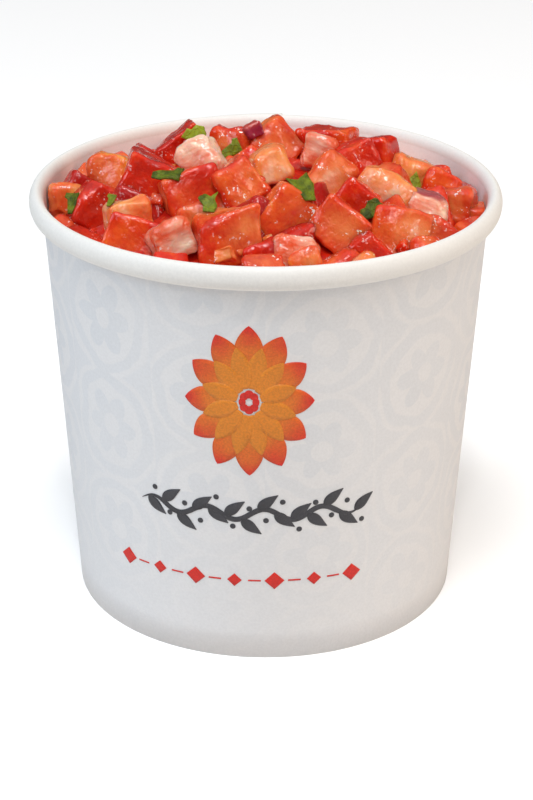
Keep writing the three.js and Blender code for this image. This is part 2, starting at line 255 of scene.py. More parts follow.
# A flake falls in at a slant and faces mostly back that way. From its start above the dice it
# drapes over them by a share of their unevenness, within limits, with ragged edges and a wave.
# The two shifts keep one flake from having the raggedness and the veins of another.
FLAKE_SLANT = math.radians(45)
FLAKE_FACING = 3
FLAKE_THICKNESS = 0.0003
FLAKE_START = 0.004
FLAKE_DRAPE = 0.4
FLAKE_LOWEST, FLAKE_HIGHEST = -0.0002, 0.002
FLAKE_CLEARANCE = 0.0005
FLAKE_CUTS = 4
RAGGED_SIZE, RAGGED_DEPTH = 0.0009, 0.00008
FLAKE_WAVE, FLAKE_WAVE_HEIGHT = 0.0022, 0.0003
FLAKE_SHIFT = 3.1
FLAKE_TEXTURE_SHIFT = 0.05
FLAKE_OUTLINES = {
    "blade": ((-0.5, -0.1), (-0.12, -0.24), (0.42, -0.3), (0.5, 0.28), (0.3, 0.34),
              (0.18, 0.2), (-0.2, 0.18), (-0.48, 0.12)),
    "wedge": ((-0.4, -0.34), (-0.32, 0.0), (-0.5, 0.36), (-0.05, 0.36), (0.5, 0.16),
              (0.44, -0.12), (0.0, -0.28)),
    "lobed": ((-0.5, -0.06), (-0.24, -0.2), (0.02, -0.34), (0.34, -0.3), (0.5, -0.12),
              (0.36, 0.06), (0.46, 0.26), (0.16, 0.34), (-0.04, 0.2), (-0.22, 0.26)),
    "forked": ((-0.5, -0.12), (-0.16, -0.3), (0.16, -0.24), (0.5, -0.42), (0.3, -0.1),
               (0.46, 0.12), (0.14, 0.14), (0.3, 0.42), (-0.06, 0.26), (-0.34, 0.3)),
}

# The faint pattern on the cup's ground: its cells, and in shares of a cell how far its rosettes,
# their eyes, the hoops round them and the corners between hoops reach. Pairs are soft edges. It
# is worn in places, and it fades towards the foot between two heights.
PATTERN_COLUMNS = 12
PATTERN_CELL = 0.0228
PATTERN_PETALS = 6
PATTERN_HEART, PATTERN_PETAL = 0.17, 0.14
PATTERN_EDGE = (-0.01, 0.015)
PATTERN_EYE = (0.075, 0.095)
PATTERN_HOOP = 0.43
PATTERN_HOOP_EDGE = (0.04, 0.065)
PATTERN_CORNER = (0.52, 0.56)
HOOP_TONE, CORNER_TONE = 0.8, 0.7
PATTERN_WORN = (0.25, 0.65)
PATTERN_FADE = (-0.02, 0.055)

# The soft line that the juice has crept up to inside the cup, how much higher it creeps in
# places, how strongly it stains the board, and how much smoother it makes it
JUICE_LINE = (0.0755, 0.0795)
JUICE_CREEP = 0.006
STAIN = 0.14
JUICE_GLOSS = 0.25

# The print's ink: its thickness, and how far it stands off the wall where no other height is given
INK = 0.00003
INK_LIFT = 0.00004

# The rosette's rings of petals: the name of each, its number of petals, the share of a petal by
# which it is turned, where its petals start and end and how wide they are in shares of the
# rosette's half height, and how far its ink stands off the wall.
PETAL_RINGS = (
    ("print_petals_outer", 12, 0.0, 0.42, 1.0, 0.17, 0.00003),
    ("print_petals_inner", 12, 0.5, 0.18, 0.74, 0.12, 0.00007),
)
PETAL_ROOT = 0.08
PETAL_BLUNTNESS = 0.8
ROSETTE_SQUASH = 0.78
BEADS = 8
BEAD_START, BEAD_END, BEAD_WIDTH = 0.05, 0.16, 0.055
BEAD_LIFT = 0.0001

# The garland: its waving stem, its leaves and its berries
GARLAND_WAVES = 4
GARLAND_SWING = 0.0012
STEM_STEPS = 120
STEM_WIDTH, STEM_POINT = 0.0005, 0.00005
STEM_TAPER = 8
LEAVES = 14
LEAF_WAY = (0.62, 0.78)
LEAF_LENGTH, LEAF_CURL = 0.0042, 0.0012
LEAF_WIDTH, LEAF_POINT = 0.00105, 0.00006
LEAF_BLUNTNESS = 0.8
BERRY_PLACE = (0.0015, -0.0022)
BERRY_LENGTH = 0.0011

# The row: lozenges of two sizes in turn, with bars between them
LOZENGES = 7
ROW_SHIFT = -0.003
LOZENGE_SIZES = (0.0019, 0.0014)
LOZENGE_POINT = 0.00002
BAR_GAP = 0.0026
BAR_WIDTH = 0.00016

# The lights: the name of each, the setting of its power, its width, its place and its tint. The
# sky goes from its horizon's light to its zenith's between two heights.
WHITE = (1, 1, 1)
LIGHTS = (
    ("key", "key", 0.5, (-0.1, -0.7, 2.1), WHITE),
    ("front", "front", 0.35, (0, -1.3, 1.35), WHITE),
    ("left", "fill", 0.4, (-0.75, -0.2, 0.5), (0.66, 0.83, 1.0)),
    ("right", "fill", 0.4, (0.8, -0.15, 0.42), (1.0, 0.82, 0.66)),
    ("spark_0", "spark", 0.06, (0.35, -0.6, 1.5), WHITE),
    ("spark_1", "spark", 0.06, (-0.5, -0.5, 1.4), WHITE),
    ("spark_2", "spark", 0.06, (0.0, -0.75, 1.3), WHITE),
)
SKY_EDGE = (0.42, 1.0)
FLOOR_REACH = 1.0

# The photograph's camera, fitted to the outlines of the lip, the wall and the foot. Its picture,
# the place of the cup's axis in it, the height of its aim in it and its focal length are in
# pixels; its distance, and the height on the cup's axis that it is aimed at, are in metres.
PICTURE_WIDTH, PICTURE_HEIGHT = 533, 800
AXIS_IN_PICTURE = 265.16
AIM_IN_PICTURE = 380.4
FOCAL_LENGTH = 2161
CAMERA_TILT = math.radians(24.38)
CAMERA_ROLL = 0.0035
CAMERA_DISTANCE = 0.4385
AIM_HEIGHT = 0.0419
SENSOR = 36


def length(name, description, default):
    return bpy.props.FloatProperty(
        name=name, description=description, default=default, min=0, unit="LENGTH", precision=5
    )


def share(name, description, default):
    return bpy.props.FloatProperty(
        name=name, description=description, default=default, min=0, max=1, subtype="FACTOR"
    )


def colour(name, description, default):
    return bpy.props.FloatVectorProperty(
        name=name, description=description, default=default, size=3, min=0, max=1,
        subtype="COLOR",
    )


class SALSA_PG_cup(bpy.types.PropertyGroup):
    unevenness: length("Unevenness", "How far the wall strays from round", 0.00012)
    seam_overlap: length("Seam Overlap", "Width of the glued side seam", 0.007)
    board: colour("Board", "Colour of the bare board", (0.85, 0.835, 0.8))
    # The lining's slight cyan tint is painted to offset the red light that the salsa reflects onto
    # it
    bounce_offset_lining: colour("Lining", "Colour of the cup's inside", (0.93, 0.96, 0.94))
    ground: colour("Ground", "Colour printed all over the outside", (0.815, 0.815, 0.82))
    figure: colour("Figure", "Colour of the faint pattern on it", (0.745, 0.762, 0.785))
    stain: colour("Stain", "Colour of the juice on the inside", (0.85, 0.5, 0.34))


class SALSA_PG_print(bpy.types.PropertyGroup):
    place: bpy.props.FloatProperty(
        name="Place", description="Middle of the print, round from the front",
        default=math.radians(-4), subtype="ANGLE", unit="ROTATION",
    )
    rosette_height: length("Rosette Height", "Height of the rosette's middle", 0.0565)
    rosette_size: length("Rosette Size", "Height of the rosette itself", 0.031)
    garland_height: length("Garland Height", "Height of the garland's stem", 0.0325)
    garland_width: length("Garland Width", "Length of the garland", 0.044)
    row_height: length("Row Height", "Height of the row of lozenges", 0.0178)
    row_width: length("Row Width", "Length of the row of lozenges", 0.046)
    orange: colour("Orange", "The rosette's inner petals", (0.86, 0.27, 0.02))
    red: colour("Red", "The rosette's outer petals and the row", (0.76, 0.022, 0.012))
    grey: colour("Grey", "The garland", (0.045, 0.045, 0.052))


class SALSA_PG_salsa(bpy.types.PropertyGroup):
    seed: bpy.props.IntProperty(name="Seed", description="Another heap", default=20, min=1)
    rounding: length("Rounding", "Radius of the crispest edges of the dice", 0.0007)
    deep: colour("Deep Red", "The reddest flesh", (0.43, 0.011, 0.007))
    red: colour("Red", "Ripe flesh", (0.68, 0.025, 0.006))
    orange: colour("Orange", "Firm flesh near the skin", (0.81, 0.12, 0.015))
    yellow: colour("Yellow", "Unripe flesh", (0.9, 0.4, 0.06))
    pink: colour("Pink Flesh", "Pale flesh of red tomato", (0.79, 0.135, 0.036))
    peach: colour("Peach Flesh", "Pale flesh of orange tomato", (0.86, 0.32, 0.1))
    white: colour("White Flesh", "The palest flesh, at the heart of a dice", (0.9, 0.57, 0.4))
    # Painted highlights: the colour of the small wet glints painted into the flesh
    painted_glint: colour("Glint", "Small wet glints", (1.0, 0.93, 0.87))
    onion: colour("Onion", "White onion in the juice", (0.93, 0.62, 0.46))
    rosy: colour("Rosy Onion", "Onion that has taken up more juice", (0.8, 0.14, 0.055))
    purple: colour("Purple", "Outer layer of red onion", (0.3, 0.016, 0.05))
    leaf: colour("Leaf", "Light coriander", (0.3, 0.36, 0.02))
    dark_leaf: colour("Dark Leaf", "Dark coriander", (0.045, 0.07, 0.006))


class SALSA_PG_stage(bpy.types.PropertyGroup):
    floor: colour("Floor", "Colour of the floor", (0.97, 0.97, 0.97))
    glow: share("Glow", "How much lighter the camera sees the floor", 0.12)
    bounce: colour("Bounce", "Colour of the floor as other things see it", (0.82, 0.78, 0.75))
    zenith: share("Zenith", "Light from straight above", 0.72)
    horizon: share("Horizon", "Light from the horizon", 0.08)
    key: bpy.props.FloatProperty(
        name="Key Light", description="Power of the light overhead", default=17.0, unit="POWER"
    )
    front: bpy.props.FloatProperty(
        name="Front Light", description="Power of the light in front", default=3.0, unit="POWER"
    )
    fill: bpy.props.FloatProperty(
        name="Fill Light", description="Power of the side lights", default=2.5, unit="POWER"
    )
    spark: bpy.props.FloatProperty(
        name="Spark Lights", description="Power of each small light", default=1.2, unit="POWER",
    )


# Rules that the pieces share


def seeded(seed):
    """Numbers from 0 to 1 that come out the same each time."""
    state = seed
    while True:
        state = (1664525 * state + 1013904223) % 4294967296
        yield state / 4294967296


def spread(amount, random):
    return amount * (2 * next(random) - 1)


def inside_radius(height):
    """The inside of the cup's wall."""
    top = LIP_RADIUS - LIP_WIDTH
    foot = FOOT_RADIUS - BOARD
    return foot + (top - foot) * height / LIP_MIDDLE


def heap_height(radius):
    """The heap's mean surface."""
    part = min(radius / inside_radius(CUP_HEIGHT), 1)
    return CUP_HEIGHT + CROWN - (CROWN + EDGE_DROP) * part**FULLNESS


def unevenness(angle, height):
    """How far the wall stands out of round, for each unit of the setting."""
    place = Vector((math.cos(angle), math.sin(angle), height / (2 * LIP_RADIUS)))
    fade = min(height, CUP_HEIGHT - height) / (CUP_HEIGHT / 2)
    return noise.noise(place * WALL_WAVES) * max(fade, 0)


def mesh_object(name, vertices, faces, material, smooth=True, **attributes):
    """A new mesh object in the scene. An attribute has a number or a vector for each vertex."""
    mesh = bpy.data.meshes.new(name)
    mesh.from_pydata([tuple(v) for v in vertices], [], [tuple(f) for f in faces])
    for key, values in attributes.items():
        values = np.asarray(values, dtype=np.float32)
        kind, field = ("FLOAT_VECTOR", "vector") if values.ndim == 2 else ("FLOAT", "value")
        mesh.attributes.new(key, kind, "POINT").data.foreach_set(field, values.ravel())
    mesh.materials.append(material)
    for polygon in mesh.polygons:
        polygon.use_smooth = smooth
    mesh.update()
    made = bpy.data.objects.new(name, mesh)
    bpy.context.scene.collection.objects.link(made)
    return made


# Materials


class Nodes:
    """A node tree with short ways to add nodes, set their sockets and join them."""

    def __init__(self, tree):
        self.tree = tree

    def add(self, kind, sockets=None, **settings):
        made = self.tree.nodes.new("ShaderNode" + kind)
        for name, value in settings.items():
            setattr(made, name, value)
        for socket, value in (sockets or {}).items():
            self.feed(made.inputs[socket], value)
        return made

    def feed(self, socket, value):
        if isinstance(value, bpy.types.NodeSocket):
            self.tree.links.new(value, socket)
        elif socket.type == "RGBA" and len(value) == 3:
            socket.default_value = (*value, 1)
        else:
            socket.default_value = value

    def math(self, operation, *values, clamp=False):
        made = self.add("Math", dict(enumerate(values)), operation=operation, use_clamp=clamp)
        return made.outputs[0]

    def plus(self, first, second, clamp=False):
        return self.math("ADD", first, second, clamp=clamp)

    def minus(self, first, second, clamp=False):
        return self.math("SUBTRACT", first, second, clamp=clamp)

    def times(self, first, second):
        return self.math("MULTIPLY", first, second)

    def scaled(self, value, factor, start):
        """The value times a factor, counted from a start."""
        return self.plus(self.times(value, factor), start)

    def mix(self, factor, first, second, blend="MIX"):
        made = self.add("Mix", data_type="RGBA", blend_type=blend)
        ends = {socket.identifier: socket for socket in made.inputs}
        self.feed(ends["Factor_Float"], factor)
        self.feed(ends["A_Color"], first)
        self.feed(ends["B_Color"], second)
        return next(s for s in made.outputs if s.identifier == "Result_Color")

    def ramp(self, factor, *stops):
        """stops are (position, colour) pairs, from 0 to 1."""
        made = self.add("ValToRGB", {"Fac": factor})
        line = made.color_ramp.elements
        while len(line) < len(stops):
            line.new(0.5)
        for element, (position, value) in zip(line, stops):
            element.position = position
            element.color = (*value, 1)
        return made.outputs["Color"]

    def step(self, value, low, high):
        """0 below low and 1 above high, smooth between."""
        sockets = {"Value": value, "From Min": low, "From Max": high}
        made = self.add("MapRange", sockets, interpolation_type="SMOOTHSTEP")
        return made.outputs["Result"]

    def noise(self, vector, scale, detail=2.0, roughness=0.5):
        sockets = {"Vector": vector, "Scale": scale, "Detail": detail, "Roughness": roughness}
        return self.add("TexNoise", sockets).outputs["Fac"]

    def cloud(self, vector, scale, amount, detail=2.0):
        """Noise about 0, by at most half the amount either way."""
        return self.times(self.minus(self.noise(vector, scale, detail), 0.5), amount)

    def attribute(self, name, output="Fac"):
        return self.add("Attribute", attribute_name=name).outputs[output]

    def stretched(self, vector, scale):
        return self.add("Mapping", {"Vector": vector, "Scale": scale}).outputs["Vector"]

    def place(self):
        return self.add("TexCoord").outputs["Object"]

    def group(self, tree, sockets):
        made = self.tree.nodes.new("ShaderNodeGroup")
        made.node_tree = tree
        for socket, value in sockets.items():
            self.feed(made.inputs[socket], value)
        return made.outputs

    def bump(self, height, strength, distance):
        sockets = {"Height": height, "Strength": strength, "Distance": distance}
        return self.add("Bump", sockets).outputs["Normal"]


def new_material(name, sockets):
    """A material with one Principled BSDF, and its node tree. Sockets are set on the shader."""
    material = bpy.data.materials.new(name)
    material.use_nodes = True
    nodes = Nodes(material.node_tree)
    shader = material.node_tree.nodes["Principled BSDF"]
    for socket, value in sockets.items():
        nodes.feed(shader.inputs[socket], value)
    return material, nodes, shader.inputs


def toned(tint, amount):
    """A colour made darker or lighter."""
    return [amount * part for part in tint]


def feed_shader(nodes, shader, base, rough, normal):
    nodes.feed(shader["Base Color"], base)
    nodes.feed(shader["Roughness"], rough)
    nodes.feed(shader["Normal"], normal)


def new_group(name, inputs, outputs):
    """A shader node group with (name, kind, default) inputs and (name, kind) outputs."""
    tree = bpy.data.node_groups.new(name, "ShaderNodeTree")
    for label, kind, default in inputs:
        socket = tree.interface.new_socket(label, in_out="INPUT", socket_type="NodeSocket" + kind)
        if default is not None:
            socket.default_value = default
    for label, kind in outputs:
        tree.interface.new_socket(label, in_out="OUTPUT", socket_type="NodeSocket" + kind)
    start = tree.nodes.new("NodeGroupInput")
    end = tree.nodes.new("NodeGroupOutput")
    return Nodes(tree), start.outputs, end.inputs


def board_grain():
    """The fine grain of paperboard: a height for bump and a shade for its colour."""
    name = "board_grain"
    if name in bpy.data.node_groups:
        return bpy.data.node_groups[name]
    nodes, start, end = new_group(
        name,
        [("Vector", "Vector", None), ("Scale", "Float", 1800.0), ("Depth", "Float", 0.06)],
        [("Height", "Float"), ("Shade", "Color")],
    )
    fine = nodes.noise(start["Vector"], start["Scale"], detail=3.0, roughness=0.65)
    coarse = nodes.noise(start["Vector"], nodes.times(start["Scale"], 0.12))
    nodes.feed(end["Height"], nodes.plus(fine, nodes.times(coarse, 0.6)))
    dark = nodes.minus(1.0, start["Depth"])
    low = nodes.add("CombineColor", {"Red": dark, "Green": dark, "Blue": dark}).outputs["Color"]
    nodes.feed(end["Shade"], nodes.mix(nodes.step(fine, 0.3, 0.7), low, WHITE))
    return nodes.tree


def wet_flesh():
    """Wet cut flesh: a height for bump, a roughness, and a mask of small painted glints."""
    name = "wet_flesh"
    if name in bpy.data.node_groups:
        return bpy.data.node_groups[name]
    nodes, start, end = new_group(
        name,
        [("Vector", "Vector", None), ("Cell", "Float", 700.0), ("Wetness", "Float", 0.7)],
        [("Height", "Float"), ("Roughness", "Float"), ("Specks", "Float")],
    )

    def noise_of(part, detail=2.0):
        return nodes.noise(start["Vector"], nodes.times(start["Cell"], part), detail)

    broad, fine = noise_of(0.5), noise_of(2.4)
    nodes.feed(end["Height"], nodes.plus(nodes.times(broad, 1.2), nodes.times(fine, 0.35)))
    dry = nodes.minus(1.0, start["Wetness"])
    patch = nodes.step(noise_of(0.7), 0.4, 0.62)
    nodes.feed(end["Roughness"], nodes.scaled(dry, patch, WETTEST))
    # Clusters of tiny dots: the mask of painted glints, highlights painted into the colour
    dots = nodes.step(noise_of(2.8, detail=1.5), 0.6, 0.66)
    few = nodes.step(noise_of(0.6), 0.52, 0.64)
    nodes.feed(end["Specks"], nodes.times(dots, few))
    return nodes.tree


def ground_pattern(nodes, place):
    """Rosettes in hoops, in columns of which every other one is set half a step up."""
    axes = nodes.add("SeparateXYZ", {"Vector": place}).outputs
    angle = nodes.math("ARCTAN2", axes["Y"], axes["X"])
    across = nodes.math("DIVIDE", nodes.plus(angle, math.pi), math.tau / PATTERN_COLUMNS)
    odd = nodes.math("MODULO", nodes.math("FLOOR", across), 2.0)
    upward = nodes.plus(nodes.math("DIVIDE", axes["Z"], PATTERN_CELL), nodes.times(odd, 0.5))
    x = nodes.minus(nodes.math("FRACT", across), 0.5)
    y = nodes.minus(nodes.math("FRACT", upward), 0.5)
    reach = nodes.math("SQRT", nodes.plus(nodes.times(x, x), nodes.times(y, y)))
    reach = nodes.plus(reach, nodes.cloud(place, scale=110.0, amount=0.22))
    turn = nodes.times(nodes.math("ARCTAN2", y, x), PATTERN_PETALS / 2)
    petals = nodes.math("ABSOLUTE", nodes.math("COSINE", turn))
    edge = nodes.scaled(petals, PATTERN_PETAL, PATTERN_HEART)
    rosette = nodes.step(nodes.minus(edge, reach), *PATTERN_EDGE)
    figure = nodes.times(rosette, nodes.step(reach, *PATTERN_EYE))
    away = nodes.math("ABSOLUTE", nodes.minus(reach, PATTERN_HOOP))
    hoop = nodes.minus(1.0, nodes.step(away, *PATTERN_HOOP_EDGE))
    figure = nodes.math("MAXIMUM", figure, nodes.times(hoop, HOOP_TONE))
    corner = nodes.step(reach, *PATTERN_CORNER)
    figure = nodes.math("MAXIMUM", figure, nodes.times(corner, CORNER_TONE))
    worn = nodes.step(nodes.noise(place, 45.0), *PATTERN_WORN)
    figure = nodes.times(figure, nodes.scaled(worn, factor=0.5, start=0.4))
    return nodes.times(figure, nodes.step(axes["Z"], *PATTERN_FADE))


def crept_juice(nodes, place):
    """The part of the cup's inside that the juice has crept up, to an uneven line."""
    height = nodes.add("SeparateXYZ", {"Vector": place}).outputs["Z"]
    creep = nodes.times(nodes.noise(place, 130.0, detail=3.0), JUICE_CREEP)
    dry = nodes.step(nodes.plus(height, creep), *JUICE_LINE)
    return nodes.times(nodes.minus(1.0, dry), nodes.attribute("inside"))


def cup_board_material(settings):
    """White board: a printed ground with a faint pattern outside, juice stains inside."""
    material, nodes, shader = new_material("cup_board", {"Specular IOR Level": 0.4})
    place = nodes.place()
    grain = nodes.group(board_grain(), {"Vector": place, "Scale": 1900.0, "Depth": 0.05})
    printed = nodes.mix(ground_pattern(nodes, place), settings.ground, settings.figure)
    wet = crept_juice(nodes, place)
    # The inside takes the lining's cyan tint, painted to offset the salsa's reflected red light
    bare = nodes.mix(nodes.attribute("inside"), settings.board, settings.bounce_offset_lining)
    bare = nodes.mix(nodes.times(wet, STAIN), bare, settings.stain)
    base = nodes.mix(nodes.attribute("printed"), bare, printed)
    base = nodes.mix(1.0, base, grain["Shade"], "MULTIPLY")
    rough = nodes.scaled(grain["Height"], factor=0.12, start=0.42)
    rough = nodes.minus(rough, nodes.times(wet, JUICE_GLOSS))
    normal = nodes.bump(grain["Height"], strength=0.35, distance=0.00008)
    feed_shader(nodes, shader, base, rough, normal)
    return material


def bare_board_material(settings):
    """The bare board of the bottom disc."""
    material, nodes, shader = new_material("cup_base_board", {"Specular IOR Level": 0.4})
    place = nodes.place()
    grain = nodes.group(board_grain(), {"Vector": place, "Scale": 1500.0, "Depth": 0.08})
    cloud = nodes.step(nodes.noise(place, 60.0, detail=3.0), 0.3, 0.7)
    base = nodes.mix(cloud, toned(settings.board, 0.95), settings.board)
    base = nodes.mix(1.0, base, grain["Shade"], "MULTIPLY")
    rough = nodes.scaled(grain["Height"], factor=0.15, start=0.5)
    normal = nodes.bump(grain["Height"], strength=0.4, distance=0.0001)
    feed_shader(nodes, shader, base, rough, normal)
    return material


def ink_material(name, near, far):
    """Printed ink, from one colour at a shape's root to another at its tip, with paper grain."""
    material, nodes, shader = new_material(name, {"Specular IOR Level": 0.45})
    place = nodes.place()
    grain = nodes.group(board_grain(), {"Vector": place, "Scale": 2600.0, "Depth": 0.22})
    uneven = nodes.cloud(place, scale=260.0, amount=0.7, detail=3.0)
    base = nodes.mix(nodes.plus(nodes.attribute("fade"), uneven, clamp=True), near, far)
    base = nodes.mix(1.0, base, grain["Shade"], "MULTIPLY")
    rough = nodes.scaled(grain["Height"], factor=0.15, start=0.38)
    normal = nodes.bump(grain["Height"], strength=0.35, distance=0.00008)
    feed_shader(nodes, shader, base, rough, normal)
    return material


def tomato_material(name, settings):
    """Wet tomato: deep red to yellow by the cut, paler where the flesh is, speckled with painted
    glints.
    """
    material, nodes, shader = new_material(
        name,
        {
            "Subsurface Weight": 0.55,
            "Subsurface Radius": (1.0, 0.28, 0.14),
            "Subsurface Scale": 0.003,
            "Specular IOR Level": 0.42,
            "Coat Weight": 0.2,
            "Coat Roughness": 0.05,
        },
    )
    local = nodes.attribute("local", "Vector")
    wet = nodes.group(wet_flesh(), {"Vector": local, "Cell": 620.0, "Wetness": 0.84})
    tone = nodes.attribute("tone")
    for scale, amount in ((150.0, 1.1), (420.0, 0.5), (1500.0, 0.3)):
        tone = nodes.plus(tone, nodes.cloud(local, scale, amount))
    ripe = nodes.ramp(
        tone, (0.0, settings.deep), (0.38, settings.red), (0.76, settings.orange),
        (1.0, settings.yellow),
    )
    flesh = nodes.mix(tone, settings.pink, settings.peach)
    streaks = nodes.stretched(local, (1.0, 1.0, 0.4))
    fibre = nodes.step(nodes.noise(streaks, 430.0, detail=3.0, roughness=0.55), 0.3, 0.75)
    fibre = nodes.scaled(fibre, factor=0.7, start=0.65)
    pale = nodes.times(nodes.attribute("pale"), fibre)
    base = nodes.mix(nodes.step(pale, 0.0, 0.75), ripe, flesh)
    base = nodes.mix(nodes.times(nodes.step(pale, 0.6, 1.4), 0.8), base, settings.white)
    # Painted highlights: small glints painted into the colour
    specks = nodes.times(wet["Specks"], nodes.attribute("speckle"))
    base = nodes.mix(specks, base, settings.painted_glint)
    normal = nodes.bump(wet["Height"], strength=0.6, distance=0.0007)
    feed_shader(nodes, shader, base, wet["Roughness"], normal)
    return material


def onion_material(settings):
    """Wet onion, tinted by the juice: layered streaks, and a purple outer face on some."""
    material, nodes, shader = new_material(
        "onion",
        {
            "Subsurface Weight": 0.75,
            "Subsurface Radius": (1.0, 0.45, 0.3),
            "Subsurface Scale": 0.0035,
            "Coat Weight": 0.2,
            "Coat Roughness": 0.05,
        },
    )
    local = nodes.attribute("local", "Vector")
    wet = nodes.group(wet_flesh(), {"Vector": local, "Cell": 480.0, "Wetness": 0.86})
    layers = nodes.stretched(local, (0.12, 1.0, 0.5))
    streaks = nodes.step(nodes.noise(layers, 900.0, detail=3.0, roughness=0.6), 0.3, 0.7)
    cloud = nodes.cloud(local, scale=260.0, amount=0.9, detail=3.0)
    rosy = nodes.plus(nodes.attribute("tone"), cloud)
    rosy = nodes.minus(rosy, nodes.times(streaks, 0.65), clamp=True)
    base = nodes.mix(rosy, settings.onion, settings.rosy)
    # Painted highlights: small glints painted into the onion's colour
    base = nodes.mix(nodes.times(wet["Specks"], 0.8), base, settings.painted_glint)
    outer = nodes.step(nodes.attribute("depth"), 0.7, 1.0)
    base = nodes.mix(nodes.times(nodes.attribute("purple"), outer), base, settings.purple)
    height = nodes.plus(wet["Height"], nodes.times(streaks, 0.5))
    normal = nodes.bump(height, strength=0.6, distance=0.0006)
    feed_shader(nodes, shader, base, wet["Roughness"], normal)
    return material


def red_onion_material(settings):
    """The purple outer layer of red onion, fading to pink at its cut edges."""
    material, nodes, shader = new_material(
        "red_onion", {"Subsurface Weight": 0.2, "Subsurface Scale": 0.0015}
    )
    local = nodes.attribute("local", "Vector")
    wet = nodes.group(wet_flesh(), {"Vector": local, "Cell": 600.0, "Wetness": 0.7})
    cloud = nodes.cloud(local, scale=350.0, amount=1.0, detail=3.0)
    cut = nodes.plus(nodes.step(nodes.attribute("depth"), 0.2, 1.0), cloud, clamp=True)
    base = nodes.mix(nodes.times(cut, 0.4), settings.purple, settings.rosy)
    normal = nodes.bump(wet["Height"], strength=0.5, distance=0.00025)
    feed_shader(nodes, shader, base, wet["Roughness"], normal)
    return material


def juice_material(settings):
    """The wet pulp between the dice."""
    material, nodes, shader = new_material(
        "salsa_juice", {"Subsurface Weight": 0.2, "Subsurface Scale": 0.002}
    )
    place = nodes.place()
    wet = nodes.group(wet_flesh(), {"Vector": place, "Cell": 420.0, "Wetness": 0.85})
    pulp = nodes.step(nodes.noise(place, 320.0, detail=4.0, roughness=0.6), 0.35, 0.7)
    base = nodes.mix(pulp, settings.deep, settings.red)
    # Painted highlights: lighter orange dots where the glint specks fall
    base = nodes.mix(nodes.times(wet["Specks"], 0.4), base, settings.orange)
    normal = nodes.bump(wet["Height"], strength=0.7, distance=0.0005)
    feed_shader(nodes, shader, base, wet["Roughness"], normal)
    return material


def leaf_material(settings):
    """Chopped leaf: light to dark green, with darker veins and a wet gloss."""
    material, nodes, shader = new_material(
        "coriander",
        {"Specular IOR Level": 0.2, "Subsurface Weight": 0.25, "Subsurface Scale": 0.0008},
    )
    local = nodes.attribute("local", "Vector")
    veins = nodes.add("TexVoronoi", {"Vector": local, "Scale": 750.0}, feature="DISTANCE_TO_EDGE")
    vein = nodes.minus(1.0, nodes.step(veins.outputs["Distance"], 0.02, 0.12))
    cloud = nodes.cloud(local, scale=500.0, amount=1.8, detail=4.0)
    dark = nodes.plus(nodes.attribute("tone"), cloud, clamp=True)
    base = nodes.mix(dark, settings.leaf, settings.dark_leaf)
    base = nodes.mix(nodes.times(vein, 0.15), base, settings.dark_leaf)
    normal = nodes.bump(nodes.plus(cloud, vein), strength=0.5, distance=0.0002)
    feed_shader(nodes, shader, base, nodes.scaled(dark, factor=0.2, start=0.34), normal)
    return material


def floor_material(settings):
    """A plain pale floor, hardly mottled. The camera sees it lighter than other things do."""
    material, nodes, shader = new_material("floor", {"Specular IOR Level": 0.2})
    cloud = nodes.noise(nodes.place(), 3.0)
    base = nodes.mix(cloud, settings.floor, toned(settings.floor, 0.99))
    seen = nodes.add("LightPath").outputs["Is Camera Ray"]
    nodes.feed(shader["Base Color"], nodes.mix(seen, settings.bounce, base))
    nodes.feed(shader["Emission Color"], WHITE)
    nodes.feed(shader["Emission Strength"], nodes.times(seen, settings.glow))
    nodes.feed(shader["Roughness"], nodes.scaled(cloud, factor=0.1, start=0.6))
    return material


# The cup


def sheet_section(path, thickness):
    """A sheet whose middle follows a path of (radius, height) points: its two faces."""
    left, right = [], []
    for i, point in enumerate(path):
        before, after = path[max(i - 1, 0)], path[min(i + 1, len(path) - 1)]
        into = (point - before) if i else (after - point)
        out = (after - point) if i < len(path) - 1 else into
        along = (into.normalized() + out.normalized()).normalized()
        normal = Vector((-along.y, along.x))
        mitre = thickness / 2 / max(abs(along.dot(out.normalized())), MITRE_LIMIT)
        left.append(point + normal * mitre)
        right.append(point - normal * mitre)
    return left, right


def revolve(loop, angles, offset):
    """A closed profile turned about +Z. offset(row, angle, point) gives where a point ends up."""
    vertices = []
    for angle in angles:
        for row, point in enumerate(loop):
            moved = offset(row, angle, point)
            vertices.append((moved.x * math.cos(angle), moved.x * math.sin(angle), moved.y))
    rows, count = len(loop), len(angles)
    faces = [
        (i * rows + j, (i + 1) % count * rows + j,
         (i + 1) % count * rows + (j + 1) % rows, i * rows + (j + 1) % rows)
        for i in range(count)
        for j in range(rows)
    ]
    return vertices, faces


def wall_middle(height):
    """The middle of the board in the cup's wall."""
    return inside_radius(height) + BOARD / 2


def sleeve_path():
    """Up the hem's inner leg, round the fold, up the wall and over the lip."""
    hem = 2 * (BOARD + GAP)
    fold = BOARD / 2
    path = [Vector((wall_middle(height) - hem, height)) for height in (HEM_HEIGHT, fold)]
    for i in range(WALL_STEPS):
        height = fold + (LIP_MIDDLE - fold) * i / WALL_STEPS
        path.append(Vector((wall_middle(height), height)))
    across, upright = (LIP_WIDTH - BOARD) / 2, (LIP_HEIGHT - BOARD) / 2
    for i in range(LIP_STEPS + 1):
        angle = math.pi + (LIP_END_ANGLE - math.pi) * i / LIP_STEPS
        path.append(
            Vector((LIP_ACROSS + across * math.cos(angle), LIP_MIDDLE + upright * math.sin(angle)))
        )
    return path


def seam_rise(angle, edge, way):
    """1 at a flap's edge, falling away over the flap and gone beyond it. way is its side."""
    behind = (angle - edge) * way
    if behind < 0:
        return 0
    return max(1 - behind / SEAM_EASE, 0)


